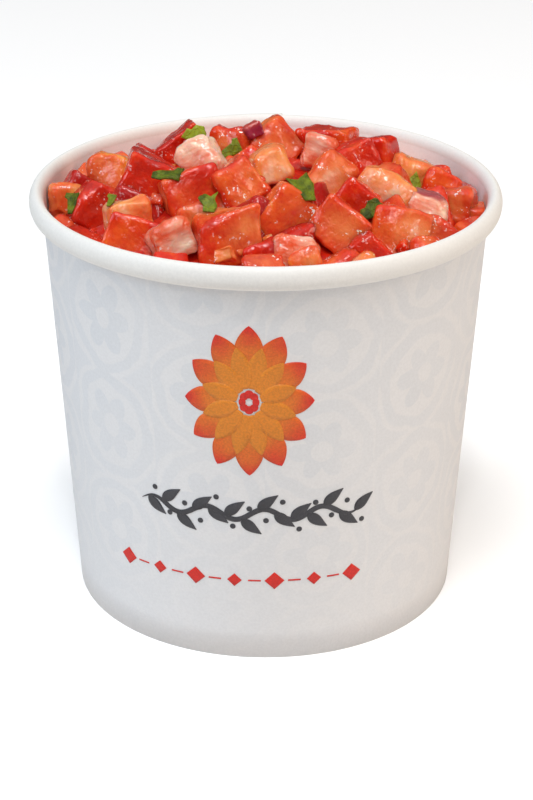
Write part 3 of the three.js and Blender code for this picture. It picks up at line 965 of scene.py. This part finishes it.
def build_sleeve(settings):
    path = sleeve_path()
    outer, inner = sheet_section(path, BOARD)[::-1]
    count = len(path)
    half = settings.seam_overlap / (2 * LIP_RADIUS)
    outer_edge, inner_edge = SEAM_ANGLE + half, SEAM_ANGLE - half
    flaps = {True: (outer, outer_edge - SEAM_CRISP, -1), False: (inner, inner_edge, 1)}
    close = [edge + side for edge in (outer_edge, inner_edge) for side in (-SEAM_CRISP, 0)]
    angles = sorted({math.tau * i / CUP_SIDES for i in range(CUP_SIDES)} | set(close))

    def side_and_step(row):
        """Whether a row of the profile is on the outer face, and its place along the path."""
        return (True, row) if row < count else (False, 2 * count - 1 - row)

    def offset(row, angle, point):
        outside, step = side_and_step(row)
        face, edge, way = flaps[outside]
        shift = Vector((settings.unevenness * unevenness(angle, point.y), 0))
        across = (face[step] - path[step]).normalized()
        rise = seam_rise(angle, edge, way) if step > HEM_POINTS else 0
        return point + shift + across * rise * BOARD * SEAM_RISE

    vertices, faces = revolve(outer + inner[::-1], angles, offset)
    printed, inside = [], []
    for row in range(2 * count):
        outside, step = side_and_step(row)
        printed.append(float(outside and step >= HEM_POINTS))
        inside.append(float(not outside and HEM_POINTS <= step <= HEM_POINTS + WALL_STEPS))
    return mesh_object(
        "cup_sleeve", vertices, faces, cup_board_material(settings),
        printed=printed * len(angles), inside=inside * len(angles),
    )


def build_base(settings):
    skirt = lambda height: wall_middle(height) - BOARD - GAP
    top, bend = skirt(FLOOR_HEIGHT), BASE_BEND
    flat = top - bend - AXIS_GAP
    path = [
        Vector((AXIS_GAP + flat * i / BASE_RINGS, FLOOR_HEIGHT)) for i in range(BASE_RINGS + 1)
    ]
    for i in range(1, BEND_STEPS):
        turn = math.pi / 2 * i / BEND_STEPS
        out, down = bend * math.sin(turn), bend * math.cos(turn)
        path.append(Vector((top - bend + out, FLOOR_HEIGHT - bend + down)))
    path += [Vector((skirt(h), h)) for h in (FLOOR_HEIGHT - bend, FLOOR_HEIGHT / 2, BOARD + GAP)]
    left, right = sheet_section(path, BOARD)
    angles = [math.tau * i / CUP_SIDES for i in range(CUP_SIDES)]

    def offset(row, angle, point):
        share = point.x / LIP_RADIUS
        wave = noise.noise(Vector((math.cos(angle), math.sin(angle), share)) * BASE_WAVES)
        return point + Vector((0, BASE_WAVE_HEIGHT * wave * min(share, 1)))

    vertices, faces = revolve(right + left[::-1], angles, offset)
    return mesh_object("cup_bottom", vertices, faces, bare_board_material(settings))


# The print


def on_wall(settings, across, height, lift):
    """A point of the wall's outside, from its place in the print."""
    radius = inside_radius(height) + BOARD
    angle = -math.pi / 2 + settings.place + across / radius
    out = bpy.context.scene.salsa_cup.unevenness * unevenness(angle, height)
    radius += out + lift
    return Vector((radius * math.cos(angle), radius * math.sin(angle), height))


class Shapes:
    """Flat shapes gathered into one mesh that lies on the cup's wall."""

    def __init__(self, settings):
        self.settings = settings
        self.vertices, self.faces, self.fade = [], [], []

    def strip(self, line, width, lift=INK_LIFT, columns=4):
        """A band along a line of (across, height) points, width(t) to each side, t from 0 to 1."""
        first = len(self.vertices)
        for i, point in enumerate(line):
            before, after = line[max(i - 1, 0)], line[min(i + 1, len(line) - 1)]
            along = (after - before).normalized()
            side = Vector((-along.y, along.x))
            t = i / (len(line) - 1)
            for j in range(columns + 1):
                spot = point + side * width(t) * (2 * j / columns - 1)
                self.vertices.append(on_wall(self.settings, spot.x, spot.y, lift))
                self.fade.append(t)
        for i in range(len(line) - 1):
            for j in range(columns):
                a = first + i * (columns + 1) + j
                self.faces.append((a, a + 1, a + columns + 2, a + columns + 1))

    def object(self, name, material):
        made = mesh_object(name, self.vertices, self.faces, material, fade=self.fade)
        paint = made.modifiers.new("ink", "SOLIDIFY")
        paint.thickness = INK
        paint.offset = -1
        return made


def line_of(place, steps=20):
    return [place(i / steps) for i in range(steps + 1)]


def rounded(half):
    """The width of a shape with round ends: a half circle or oval over its length."""
    return lambda t: half * math.sqrt(max(1 - (2 * t - 1) ** 2, 0))


def petal(centre, turn, start, end):
    """The middle line of a petal, from the rosette's middle outwards."""
    way = Vector((math.cos(turn) * ROSETTE_SQUASH, math.sin(turn)))
    return line_of(lambda t: centre + way * (start + (end - start) * t))


def build_rosette(settings):
    centre = Vector((0, settings.rosette_height))
    size = settings.rosette_size / 2
    along = lambda t: min(PETAL_ROOT + (1 - PETAL_ROOT) * t, 1)
    blunt = lambda t: math.sin(math.pi * along(t)) ** PETAL_BLUNTNESS
    tips = (settings.red, toned(settings.orange, 0.9))
    made = []
    for (name, number, shift, start, end, width, lift), tip in zip(PETAL_RINGS, tips):
        shapes = Shapes(settings)
        for i in range(number):
            turn = math.tau * (i + shift) / number
            line = petal(centre, turn, start * size, end * size)
            shapes.strip(line, lambda t: size * width * blunt(t), lift)
        made.append(shapes.object(name, ink_material(name, settings.orange, tip)))
    shapes = Shapes(settings)
    for i in range(BEADS):
        line = petal(centre, math.tau * i / BEADS, BEAD_START * size, BEAD_END * size)
        shapes.strip(line, rounded(size * BEAD_WIDTH), BEAD_LIFT)
    eye = ink_material("print_eye", settings.red, settings.red)
    made.append(shapes.object("print_rosette_eye", eye))
    return made


def build_garland(settings):
    shapes = Shapes(settings)
    reach = settings.garland_width / 2
    blade = lambda t: LEAF_WIDTH * math.sin(math.pi * t**LEAF_BLUNTNESS) + LEAF_POINT
    wave = lambda x: GARLAND_SWING * math.sin(x / reach * GARLAND_WAVES * math.pi)
    point = lambda x: Vector((x, settings.garland_height + wave(x)))
    taper = lambda t: min(1, STEM_TAPER * t, STEM_TAPER * (1 - t))
    stem = line_of(lambda t: point(reach * (2 * t - 1)), STEM_STEPS)
    shapes.strip(stem, lambda t: STEM_WIDTH * taper(t) + STEM_POINT)
    for i in range(LEAVES):
        root = point(reach * (2 * (i + 0.5) / LEAVES - 1))
        up = 1 if i % 2 else -1
        way = Vector((LEAF_WAY[0], LEAF_WAY[1] * up))
        leaf = line_of(lambda t: root + way * LEAF_LENGTH * t + Vector((LEAF_CURL * t * t, 0)))
        shapes.strip(leaf, blade)
        berry = root + Vector((BERRY_PLACE[0], BERRY_PLACE[1] * up))
        dot = line_of(lambda t: berry + Vector((BERRY_LENGTH * (t - 0.5), 0)))
        shapes.strip(dot, rounded(BERRY_LENGTH / 2))
    ink = ink_material("print_dark", settings.grey, toned(settings.grey, 1.5))
    return shapes.object("print_garland", ink)


def build_row(settings):
    shapes = Shapes(settings)
    reach = settings.row_width / 2
    point = lambda x: Vector((x, settings.row_height))
    for i in range(LOZENGES):
        x = reach * (2 * i / (LOZENGES - 1) - 1) + ROW_SHIFT
        half = LOZENGE_SIZES[i % 2]
        across = line_of(lambda t: point(x + half * (2 * t - 1)))
        shapes.strip(across, lambda t: half * (1 - abs(2 * t - 1)) + LOZENGE_POINT)
        if i < LOZENGES - 1:
            start = x + BAR_GAP
            end = x + 2 * reach / (LOZENGES - 1) - BAR_GAP
            bar = line_of(lambda t: point(start + (end - start) * t))
            shapes.strip(bar, lambda t: BAR_WIDTH, columns=1)
    return shapes.object("print_row", ink_material("print_red", settings.red, settings.red))


# The salsa


def tumbled(random):
    """A lower dice lies anyhow: turned, and then tipped about a level line."""
    turn = Matrix.Rotation(math.tau * next(random), 4, "Z")
    heading = math.tau * next(random)
    axis = Vector((math.cos(heading), math.sin(heading), 0))
    return Matrix.Rotation(TIP * next(random), 4, axis) @ turn


def softness_of(cut):
    return {**TOMATO_CUTS, **ONION_CUTS, **RED_ONION_CUTS}[cut][-1]


def heap_dice(settings):
    """All dice of the heap, placed, turned and cornered by the rule that makes its solid."""
    random = seeded(settings.seed)
    choice = seeded(settings.seed + 1)
    placed = []

    def put(x, y, side, rise, turn, cut, on_top):
        high = heap_height(math.hypot(x, y)) + rise
        placed.append((Matrix.Translation((x, y, high - side / 2)) @ turn, side, cut, on_top))

    for x, y, side, turn, tip, roll, rise, cut in TOP_DICE:
        angles = [math.radians(angle) for angle in (-tip, -roll, turn)]
        x, y, side, rise = [MILLIMETRE * part for part in (x, y, side, rise)]
        put(x, y, side, TOP_RISE + rise, Euler(angles, "YXZ").to_matrix().to_4x4(), cut, True)

    def near(radius, angle, side, rise_at):
        x = radius * math.cos(angle) + spread(PLACE_SPREAD, random)
        y = radius * math.sin(angle) + spread(PLACE_SPREAD, random)
        distance = min(
            math.hypot(MILLIMETRE * each[0] - x, MILLIMETRE * each[1] - y) for each in TOP_DICE
        )
        if distance < TOP_COVER:
            return
        cut = LOWER_CUTS[int(next(choice) * len(LOWER_CUTS))]
        rise = rise_at(distance) + spread(HEIGHT_SPREAD, random)
        put(x, y, side, rise, tumbled(random), cut, False)

    ring = inside_radius(CUP_HEIGHT) - RING_SIDE / 2
    bed_rise = lambda distance: BED_RISE if distance > TOP_SPACING else -BED_FALL
    for i in range(BED_DICE):
        radius = (ring - RING_SIDE / 2) * math.sqrt((i + 0.5) / BED_DICE)
        near(radius, i * GOLDEN_ANGLE, BED_SIDE, bed_rise)
    for i in range(RING_DICE):
        near(ring, math.tau * i / RING_DICE, RING_SIDE, lambda distance: RING_RISE)

    made = []
    for matrix, side, cut, on_top in placed:
        half = [side / 2 * part * (1 + spread(SIZE_SPREAD, random)) for part in SIDE_SHARES]
        corners = [
            [sign * part * (1 + spread(CORNER_SPREAD, random)) for sign, part in zip(signs, half)]
            for signs in CORNERS
        ]
        made.append(
            Dice(
                matrix=np.array(matrix), corners=np.array(corners), half=np.array(half),
                cut=cut, softness=softness_of(cut), top=on_top, number=len(made),
            )
        )
    return made


def block_grid(steps):
    """Points of a cube's surface from -1 to 1, closer near its edges, and its square faces."""
    index, points, faces = {}, [], []

    def corner(key):
        if key not in index:
            index[key] = len(points)
            even = [2 * part / steps - 1 for part in key]
            points.append([(t + math.sin(math.pi / 2 * t)) / 2 for t in even])
        return index[key]

    for axis in range(3):
        u, v = (axis + 1) % 3, (axis + 2) % 3
        for end in (0, steps):
            for i in range(steps):
                for j in range(steps):
                    square = []
                    for a, b in ((i, j), (i + 1, j), (i + 1, j + 1), (i, j + 1)):
                        key = [0, 0, 0]
                        key[axis], key[u], key[v] = end, a, b
                        square.append(corner(tuple(key)))
                    faces.append(square if end else square[::-1])
    return np.array(points, dtype=float), faces


def face_shares(unit):
    """How much of each point belongs to each of the cube's six faces."""
    sides = np.concatenate([np.maximum(-unit, 0), np.maximum(unit, 0)], axis=1) ** FACE_SHARPNESS
    return sides / sides.sum(axis=1)[:, None]


def knife_cuts(unit, number, softness):
    """Slices off some edges and corners of a cube of points, each at its own slant."""
    random = seeded(KNIFE_SEED + number)
    for _ in range(1 + round(SOFT_SLICES * softness)):
        way = np.array([spread(1, random) for _ in range(3)])
        way[np.argmin(np.abs(way))] *= SLICE_LEVEL
        way = np.sign(way) * np.abs(way) ** 0.5
        way /= np.linalg.norm(way)
        reach = unit @ way
        left = reach.max() * (SLICE_LEAST + SLICE_MORE * next(random))
        unit = unit - np.maximum(reach - left, 0)[:, None] * way
    return unit


def face_waves(local, number, softness, rough):
    """How far each point of a dice stands out of its flat faces."""
    seed = Vector([number * shift for shift in WAVE_SHIFTS])
    broad, middle, fine = [
        np.array([noise.noise(Vector(place) / size + seed) for place in local])
        for size in (BROAD_WAVE, MIDDLE_WAVE, FINE_WAVE)
    ]
    soft = (BROAD_HEIGHT + SOFT_HEIGHT * softness) * broad
    return soft + rough * (MIDDLE_HEIGHT * middle + FINE_HEIGHT * fine)


def shape_dice(dice, points, rounding, rough):
    """A dice's points in its own frame, the heap's and a cube's, and how mid-face each one is."""
    soft = np.clip(rounding * (1 + SOFT_ROUNDING * dice.softness) / dice.half, *ROUNDING_LIMITS)
    inner = np.clip(points, soft - 1, 1 - soft)
    out = (points - inner) / soft
    out /= np.linalg.norm(out, axis=1)[:, None]
    unit = knife_cuts(inner + out * soft, dice.number, dice.softness)
    local = np.zeros_like(unit)
    for signs, corner in zip(CORNERS, dice.corners):
        weight = np.prod([(1 + sign * unit[:, a]) / 2 for a, sign in enumerate(signs)], axis=0)
        local += weight[:, None] * corner
    flat = np.sort(np.abs(points), axis=1)[:, :2]
    middle = (1 - flat[:, 0] ** 2) * (1 - flat[:, 1] ** 2)
    bulge = BULGE * math.sin(dice.number * BULGE_TURN)
    offset = face_waves(local, dice.number, dice.softness, rough)
    offset += bulge * middle * dice.half.min()
    local = local + out * offset[:, None]
    world = local @ dice.matrix[:3, :3].T + dice.matrix[:3, 3]
    return local, world, unit, middle


def inside_cup(world):
    """The same points, none further out than the cup's wall leaves free."""
    limit = np.array([inside_radius(min(z, LIP_MIDDLE)) - GAP for z in world[:, 2]])
    radius = np.hypot(world[:, 0], world[:, 1])
    world[:, :2] *= np.minimum(1, limit / np.maximum(radius, GAP))[:, None]
    return world


def build_dice(name, dice_list, settings, material, values, rough=1.0):
    """One mesh of many dice. values(dice, middle, unit) gives its attributes by name."""
    grids = {True: block_grid(TOP_STEPS), False: block_grid(LOWER_STEPS)}
    vertices, faces, attributes = [], [], {}
    for dice in dice_list:
        points, squares = grids[dice.top]
        local, world, unit, middle = shape_dice(dice, points, settings.rounding, rough)
        first = len(vertices)
        vertices.extend(inside_cup(world))
        faces.extend([[first + corner for corner in square] for square in squares])
        own = values(dice, middle, unit)
        own["local"] = local + dice.number * TEXTURE_SHIFT
        own["depth"] = unit[:, 2]
        for key, value in own.items():
            attributes.setdefault(key, []).append(value)
    joined = {key: np.concatenate(value) for key, value in attributes.items()}
    return mesh_object(name, vertices, faces, material, **joined)


def blots(unit, random, number=4, size=0.45):
    """Soft blots, at places of the dice's own."""
    total = np.zeros(len(unit))
    for _ in range(number):
        spot = [spread(1, random) for _ in range(3)]
        away = ((unit - spot) ** 2).sum(axis=1)
        total += np.exp(-away / (2 * size**2))
    return np.clip(total, 0, 1)


def tomato_values(dice, middle, unit):
    """What the tomato's material reads at each point of a dice."""
    tone, pale, heart, speckle, _ = TOMATO_CUTS[dice.cut]
    random = seeded(dice.number + 1)
    sides = face_shares(unit)
    warmer = sides @ [spread(FACE_TONE, random) for _ in range(6)]
    paler = sides @ [1 + spread(FACE_PALENESS, random) for _ in range(6)]
    bright = blots(unit, random) * (BLOT_EDGE + BLOT_GAIN * middle)
    pale = pale * paler * (PALE_EDGE + PALE_GAIN * middle**0.5)
    return {
        # Edges lean to yellow: a painted glow of light through the thin flesh
        "tone": tone + warmer + PAINTED_EDGE_GLOW * (1 - middle**0.25),
        "pale": np.clip(pale + heart * bright, 0, 1),
        # The share of the painted glints, painted highlights, that show on this dice
        "speckle": np.full_like(middle, speckle),
    }


def onion_values(dice, middle, unit):
    """What the onion's material reads at each point of a dice."""
    rosy, purple, _ = ONION_CUTS[dice.cut]
    random = seeded(dice.number + 1)
    redder = face_shares(unit) @ [spread(ONION_FACE_TONE, random) for _ in range(6)]
    bright = blots(unit, random, number=3, size=0.55)
    bright *= ONION_BLOT_EDGE + ONION_BLOT_GAIN * middle
    return {
        "tone": rosy + redder + ONION_ROSIER - ONION_PALER * bright,
        "purple": np.full_like(middle, purple),
    }


def dice_cut_from(cuts, settings):
    return [dice for dice in heap_dice(settings) if dice.cut in cuts]


def build_tomato(settings):
    chosen = dice_cut_from(TOMATO_CUTS, settings)
    material = tomato_material("tomato", settings)
    return build_dice("tomato_dice", chosen, settings, material, tomato_values)


def build_onion(settings):
    chosen = dice_cut_from(ONION_CUTS, settings)
    material = onion_material(settings)
    return build_dice("onion_dice", chosen, settings, material, onion_values, ONION_ROUGHNESS)


def build_red_onion(settings):
    chosen = dice_cut_from(RED_ONION_CUTS, settings)
    material = red_onion_material(settings)
    none = lambda dice, middle, unit: {}
    return build_dice("red_onion_bits", chosen, settings, material, none)


def build_juice(settings):
    """The wet core that the dice lie in, from the cup's inside to below the heap's surface."""
    low = FLOOR_HEIGHT + BOARD / 2 + GAP
    edge = heap_height(inside_radius(CUP_HEIGHT)) - CORE_DEPTH / 2
    edge_radius = inside_radius(edge) - GAP
    smooth = [(AXIS_GAP, low), (inside_radius(low) - GAP, low), (edge_radius, edge)]
    lumpy = []
    for ring in range(PULP_RINGS - 1, -1, -1):
        radius = max(edge_radius * ring / PULP_RINGS, AXIS_GAP)
        lumpy.append((radius, heap_height(radius) - PULP_DEPTH))

    def offset(row, angle, point):
        if row < len(smooth):
            return point
        spot = Vector((point.x * math.cos(angle), point.x * math.sin(angle), 0))
        rise = sum(noise.noise(spot / size) * height for size, height in PULP_LUMPS)
        return point + Vector((0, rise))

    angles = [math.tau * i / PULP_SIDES for i in range(PULP_SIDES)]
    vertices, faces = revolve([Vector(point) for point in smooth + lumpy], angles, offset)
    return mesh_object("salsa_juice", vertices, faces, juice_material(settings))


def heap_tree(*names):
    """The surface of the pieces of these names, for lines to be dropped on."""
    vertices, faces = [], []
    for name in names:
        mesh = bpy.data.objects[name].data
        first = len(vertices)
        vertices += [vertex.co.copy() for vertex in mesh.vertices]
        faces += [[first + i for i in polygon.vertices] for polygon in mesh.polygons]
    return BVHTree.FromPolygons(vertices, faces)


def leaf_shape(outline, size):
    """A flake's points on the flat, from a fine mesh over its outline, and its faces."""
    leaf = bmesh.new()
    leaf.faces.new([leaf.verts.new((*point, 0)) for point in FLAKE_OUTLINES[outline]])
    bmesh.ops.triangulate(leaf, faces=leaf.faces[:])
    bmesh.ops.subdivide_edges(leaf, edges=leaf.edges[:], cuts=FLAKE_CUTS, use_grid_fill=True)
    points = [Vector(vertex.co) * size for vertex in leaf.verts]
    faces = [[corner.index for corner in face.verts] for face in leaf.faces]
    leaf.free()
    return points, faces


def build_flakes(settings):
    """Lay each flake on the heap. The seed keeps the ragged edges the same from run to run."""
    noise.seed_set(settings.seed)
    tree = heap_tree(*HEAP_PIECES)
    vertices, faces, tone, local = [], [], [], []
    out = Vector((0, -math.cos(FLAKE_SLANT), math.sin(FLAKE_SLANT)))
    for number, (x, y, size, heading, outline, dark) in enumerate(FLAKES):
        x, y = x * MILLIMETRE, y * MILLIMETRE
        start = Vector((x, y, heap_height(math.hypot(x, y)))) + out * ABOVE.z
        place, normal, _, _ = tree.ray_cast(start, -out)
        normal = (normal + FLAKE_FACING * out).normalized()
        turn = Vector((0, 0, 1)).rotation_difference(normal).to_matrix()
        turn = turn @ Matrix.Rotation(math.radians(heading), 3, "Z")
        points, own_faces = leaf_shape(outline, size)
        seed = Vector((number * FLAKE_SHIFT, 0, 0))
        flats, lifts = [], []
        for point in points:
            flat = point * MILLIMETRE
            ragged = noise.noise_vector(flat / RAGGED_SIZE + seed) * RAGGED_DEPTH
            flats.append(flat + Vector((ragged.x, ragged.y, 0)))
            high = place + turn @ flats[-1] + normal * FLAKE_START
            hit, _, _, distance = tree.ray_cast(high, -normal)
            lift = FLAKE_START - distance if hit else FLAKE_LOWEST
            lifts.append(min(max(lift, FLAKE_LOWEST), FLAKE_HIGHEST))
        lift = (sum(lifts) / len(lifts) + max(lifts)) / 2
        faces += [[len(vertices) + corner for corner in face] for face in own_faces]
        for flat, own in zip(flats, lifts):
            wave = FLAKE_WAVE_HEIGHT * noise.noise(flat / FLAKE_WAVE + seed)
            above = FLAKE_DRAPE * own + (1 - FLAKE_DRAPE) * lift + FLAKE_CLEARANCE + wave
            vertices.append(place + turn @ flat + normal * above)
            tone.append(dark)
            local.append(tuple(flat + Vector((number * FLAKE_TEXTURE_SHIFT, 0, 0))))
    material = leaf_material(settings)
    made = mesh_object("coriander_flakes", vertices, faces, material, tone=tone, local=local)
    leaf = made.modifiers.new("leaf", "SOLIDIFY")
    leaf.thickness = FLAKE_THICKNESS
    leaf.offset = 0
    return made


def small_bits(settings):
    """Small bits that fell off the dice, lying low between them."""
    tree = heap_tree(*HEAP_PIECES)
    random = seeded(settings.seed + BITS)
    reach = inside_radius(CUP_HEIGHT) - BIT_SIDES[1] / 2
    made = []
    while len(made) < BITS:
        radius, angle = reach * math.sqrt(next(random)), math.tau * next(random)
        side = BIT_SIDES[0] + (BIT_SIDES[1] - BIT_SIDES[0]) * next(random) ** 2
        cut = BIT_CUTS[int(next(random) * len(BIT_CUTS))]
        half = [side / 2 * part * (1 + spread(BIT_SIZE_SPREAD, random)) for part in BIT_SHARES]
        turn = Matrix.Rotation(math.tau * next(random), 4, "Z")
        tip = Matrix.Rotation(TIP * next(random), 4, "X")
        pushes = [[1 + spread(BIT_CORNER_SPREAD, random) for _ in half] for _ in CORNERS]
        start = Vector((radius * math.cos(angle), radius * math.sin(angle), 0)) + ABOVE
        place, _, _, _ = tree.ray_cast(start, DOWN)
        if place.z > heap_height(radius) + BIT_CEILING:
            continue
        made.append(
            Dice(
                matrix=np.array(Matrix.Translation(place) @ turn @ tip),
                corners=np.array(CORNERS) * half * np.array(pushes), half=np.array(half),
                cut=cut, softness=0.0, top=False, number=FIRST_BIT + len(made),
            )
        )
    return made


def build_bits(settings):
    bits = small_bits(settings)
    material = bpy.data.materials["tomato"]
    return build_dice("tomato_bits", bits, settings, material, tomato_values, BIT_ROUGHNESS)


# Operators


def finished(made, slot, *nodes):
    """The piece moves with the object and stands for its nodes, which it hides.
    slot is not used.
    """
    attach(made, "root")
    if nodes:
        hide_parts(*nodes)


class SALSA_OT_stage(bpy.types.Operator):
    """Lay the floor, light it and set up the camera"""

    bl_idname = "salsa.stage"
    bl_label = "Stage"

    def execute(self, context):
        settings = context.scene.salsa_stage
        sides = ((-1, -1), (1, -1), (1, 1), (-1, 1))
        corners = [(FLOOR_REACH * x, FLOOR_REACH * y, 0) for x, y in sides]
        material = floor_material(settings)
        floor = mesh_object("floor", corners, [(0, 1, 2, 3)], material, smooth=False)
        for name, power, width, place, tint in LIGHTS:
            self.light(name, getattr(settings, power), width, place, tint)
        self.sky(context, settings)
        self.camera(context)
        return {"FINISHED"}

    def sky(self, context, settings):
        """White to the camera. It lights other things from above, and hardly from the horizon."""
        world = bpy.data.worlds.new("studio")
        world.use_nodes = True
        nodes = Nodes(world.node_tree)
        height = nodes.add("SeparateXYZ", {"Vector": nodes.add("TexCoord").outputs["Generated"]})
        high = nodes.step(height.outputs["Z"], *SKY_EDGE)
        light = nodes.scaled(high, settings.zenith - settings.horizon, settings.horizon)
        seen = nodes.add("LightPath").outputs["Is Camera Ray"]
        back = world.node_tree.nodes["Background"].inputs
        nodes.feed(back["Color"], WHITE)
        nodes.feed(back["Strength"], nodes.math("MAXIMUM", seen, light))
        context.scene.world = world
        context.scene.view_settings.view_transform = "Standard"

    def light(self, name, power, width, place, tint):
        lamp = bpy.data.lights.new(name, "AREA")
        lamp.energy, lamp.size, lamp.color = power, width, tint
        made = bpy.data.objects.new(name, lamp)
        made.location = place
        aim = Vector((0, 0, CUP_HEIGHT / 2)) - made.location
        made.rotation_euler = aim.to_track_quat("-Z", "Y").to_euler()
        bpy.context.scene.collection.objects.link(made)

    def camera(self, context):
        """The photograph's view of the cup."""
        level = Vector((0, math.cos(CAMERA_TILT), -math.sin(CAMERA_TILT)))
        upward = Vector((0, math.sin(CAMERA_TILT), math.cos(CAMERA_TILT)))
        sideways = Vector((1, 0, 0))
        right = sideways * math.cos(CAMERA_ROLL) + upward * math.sin(CAMERA_ROLL)
        up = upward * math.cos(CAMERA_ROLL) - sideways * math.sin(CAMERA_ROLL)
        forward = level - right * (AXIS_IN_PICTURE - PICTURE_WIDTH / 2) / FOCAL_LENGTH
        forward -= up * (PICTURE_HEIGHT / 2 - AIM_IN_PICTURE) / FOCAL_LENGTH
        forward.normalize()
        up = (up - forward * up.dot(forward)).normalized()
        data = bpy.data.cameras.new("camera")
        data.sensor_width = SENSOR
        data.lens = FOCAL_LENGTH * SENSOR / PICTURE_HEIGHT
        made = bpy.data.objects.new("camera", data)
        turn = Matrix((forward.cross(up), up, -forward)).transposed().to_4x4()
        place = Vector((0, 0, AIM_HEIGHT)) - level * CAMERA_DISTANCE
        made.matrix_world = Matrix.Translation(place) @ turn
        context.scene.collection.objects.link(made)
        context.scene.camera = made


class SALSA_OT_sleeve(bpy.types.Operator):
    """Make the cup's sleeve, with its rolled lip, folded foot and glued seam"""

    bl_idname = "salsa.sleeve"
    bl_label = "Cup Sleeve"

    def execute(self, context):
        finished(build_sleeve(context.scene.salsa_cup), "cup_board", "cup_sidewall")
        return {"FINISHED"}


class SALSA_OT_base(bpy.types.Operator):
    """Make the cup's bottom disc and its skirt"""

    bl_idname = "salsa.base"
    bl_label = "Cup Bottom"

    def execute(self, context):
        finished(build_base(context.scene.salsa_cup), "cup_base_board", "cup_base")
        return {"FINISHED"}


class SALSA_OT_print(bpy.types.Operator):
    """Print a rosette, a garland and a row of lozenges on the cup's front"""

    bl_idname = "salsa.print"
    bl_label = "Cup Print"

    def execute(self, context):
        settings = context.scene.salsa_print
        for made in build_rosette(settings):
            finished(made, "print_warm")
        finished(build_garland(settings), "print_dark")
        finished(build_row(settings), "print_warm")
        return {"FINISHED"}


class SALSA_OT_juice(bpy.types.Operator):
    """Fill the cup with the wet pulp that the dice lie in"""

    bl_idname = "salsa.juice"
    bl_label = "Juice"

    def execute(self, context):
        finished(build_juice(context.scene.salsa_heap), "salsa", "salsa")
        return {"FINISHED"}


class SALSA_OT_tomato(bpy.types.Operator):
    """Cut and place the dice of tomato"""

    bl_idname = "salsa.tomato"
    bl_label = "Tomato"

    def execute(self, context):
        finished(build_tomato(context.scene.salsa_heap), "tomato", "salsa")
        return {"FINISHED"}


class SALSA_OT_onion(bpy.types.Operator):
    """Cut and place the dice of white and red onion"""

    bl_idname = "salsa.onion"
    bl_label = "Onion"

    def execute(self, context):
        settings = context.scene.salsa_heap
        finished(build_onion(settings), "onion", "salsa")
        finished(build_red_onion(settings), "red_onion", "salsa")
        return {"FINISHED"}


class SALSA_OT_coriander(bpy.types.Operator):
    """Lay the flakes of coriander on the heap"""

    bl_idname = "salsa.coriander"
    bl_label = "Coriander"

    def execute(self, context):
        finished(build_flakes(context.scene.salsa_heap), "coriander", "salsa")
        return {"FINISHED"}


class SALSA_OT_bits(bpy.types.Operator):
    """Drop small bits of tomato between the dice"""

    bl_idname = "salsa.bits"
    bl_label = "Small Bits"

    def execute(self, context):
        finished(build_bits(context.scene.salsa_heap), "tomato", "salsa")
        return {"FINISHED"}


OPERATORS = (
    SALSA_OT_stage, SALSA_OT_sleeve, SALSA_OT_base, SALSA_OT_print, SALSA_OT_juice,
    SALSA_OT_tomato, SALSA_OT_onion, SALSA_OT_coriander, SALSA_OT_bits,
)


class SALSA_PT_panel(bpy.types.Panel):
    """The cup of salsa, piece by piece"""

    bl_idname = "SALSA_PT_panel"
    bl_label = "Cup of Salsa"
    bl_space_type = "VIEW_3D"
    bl_region_type = "UI"
    bl_category = "Salsa"

    def draw(self, context):
        layout = self.layout
        for operator in OPERATORS:
            layout.operator(operator.bl_idname)
        for name in SETTINGS:
            settings = getattr(context.scene, name)
            box = layout.box()
            for key in type(settings).__annotations__:
                box.prop(settings, key)


SETTINGS = {
    "salsa_cup": SALSA_PG_cup,
    "salsa_print": SALSA_PG_print,
    "salsa_heap": SALSA_PG_salsa,
    "salsa_stage": SALSA_PG_stage,
}
CLASSES = (*SETTINGS.values(), *OPERATORS, SALSA_PT_panel)


def register():
    for each in CLASSES:
        bpy.utils.register_class(each)
    for name, group in SETTINGS.items():
        setattr(bpy.types.Scene, name, bpy.props.PointerProperty(type=group))


def unregister():
    for name in SETTINGS:
        delattr(bpy.types.Scene, name)
    for each in reversed(CLASSES):
        bpy.utils.unregister_class(each)


def main():
    register()
    bpy.ops.salsa.stage()
    bpy.ops.salsa.sleeve()
    bpy.ops.salsa.base()
    bpy.ops.salsa.print()
    bpy.ops.salsa.juice()
    bpy.ops.salsa.tomato()
    bpy.ops.salsa.onion()
    bpy.ops.salsa.coriander()
    bpy.ops.salsa.bits()


if __name__ == "__main__":
    main()
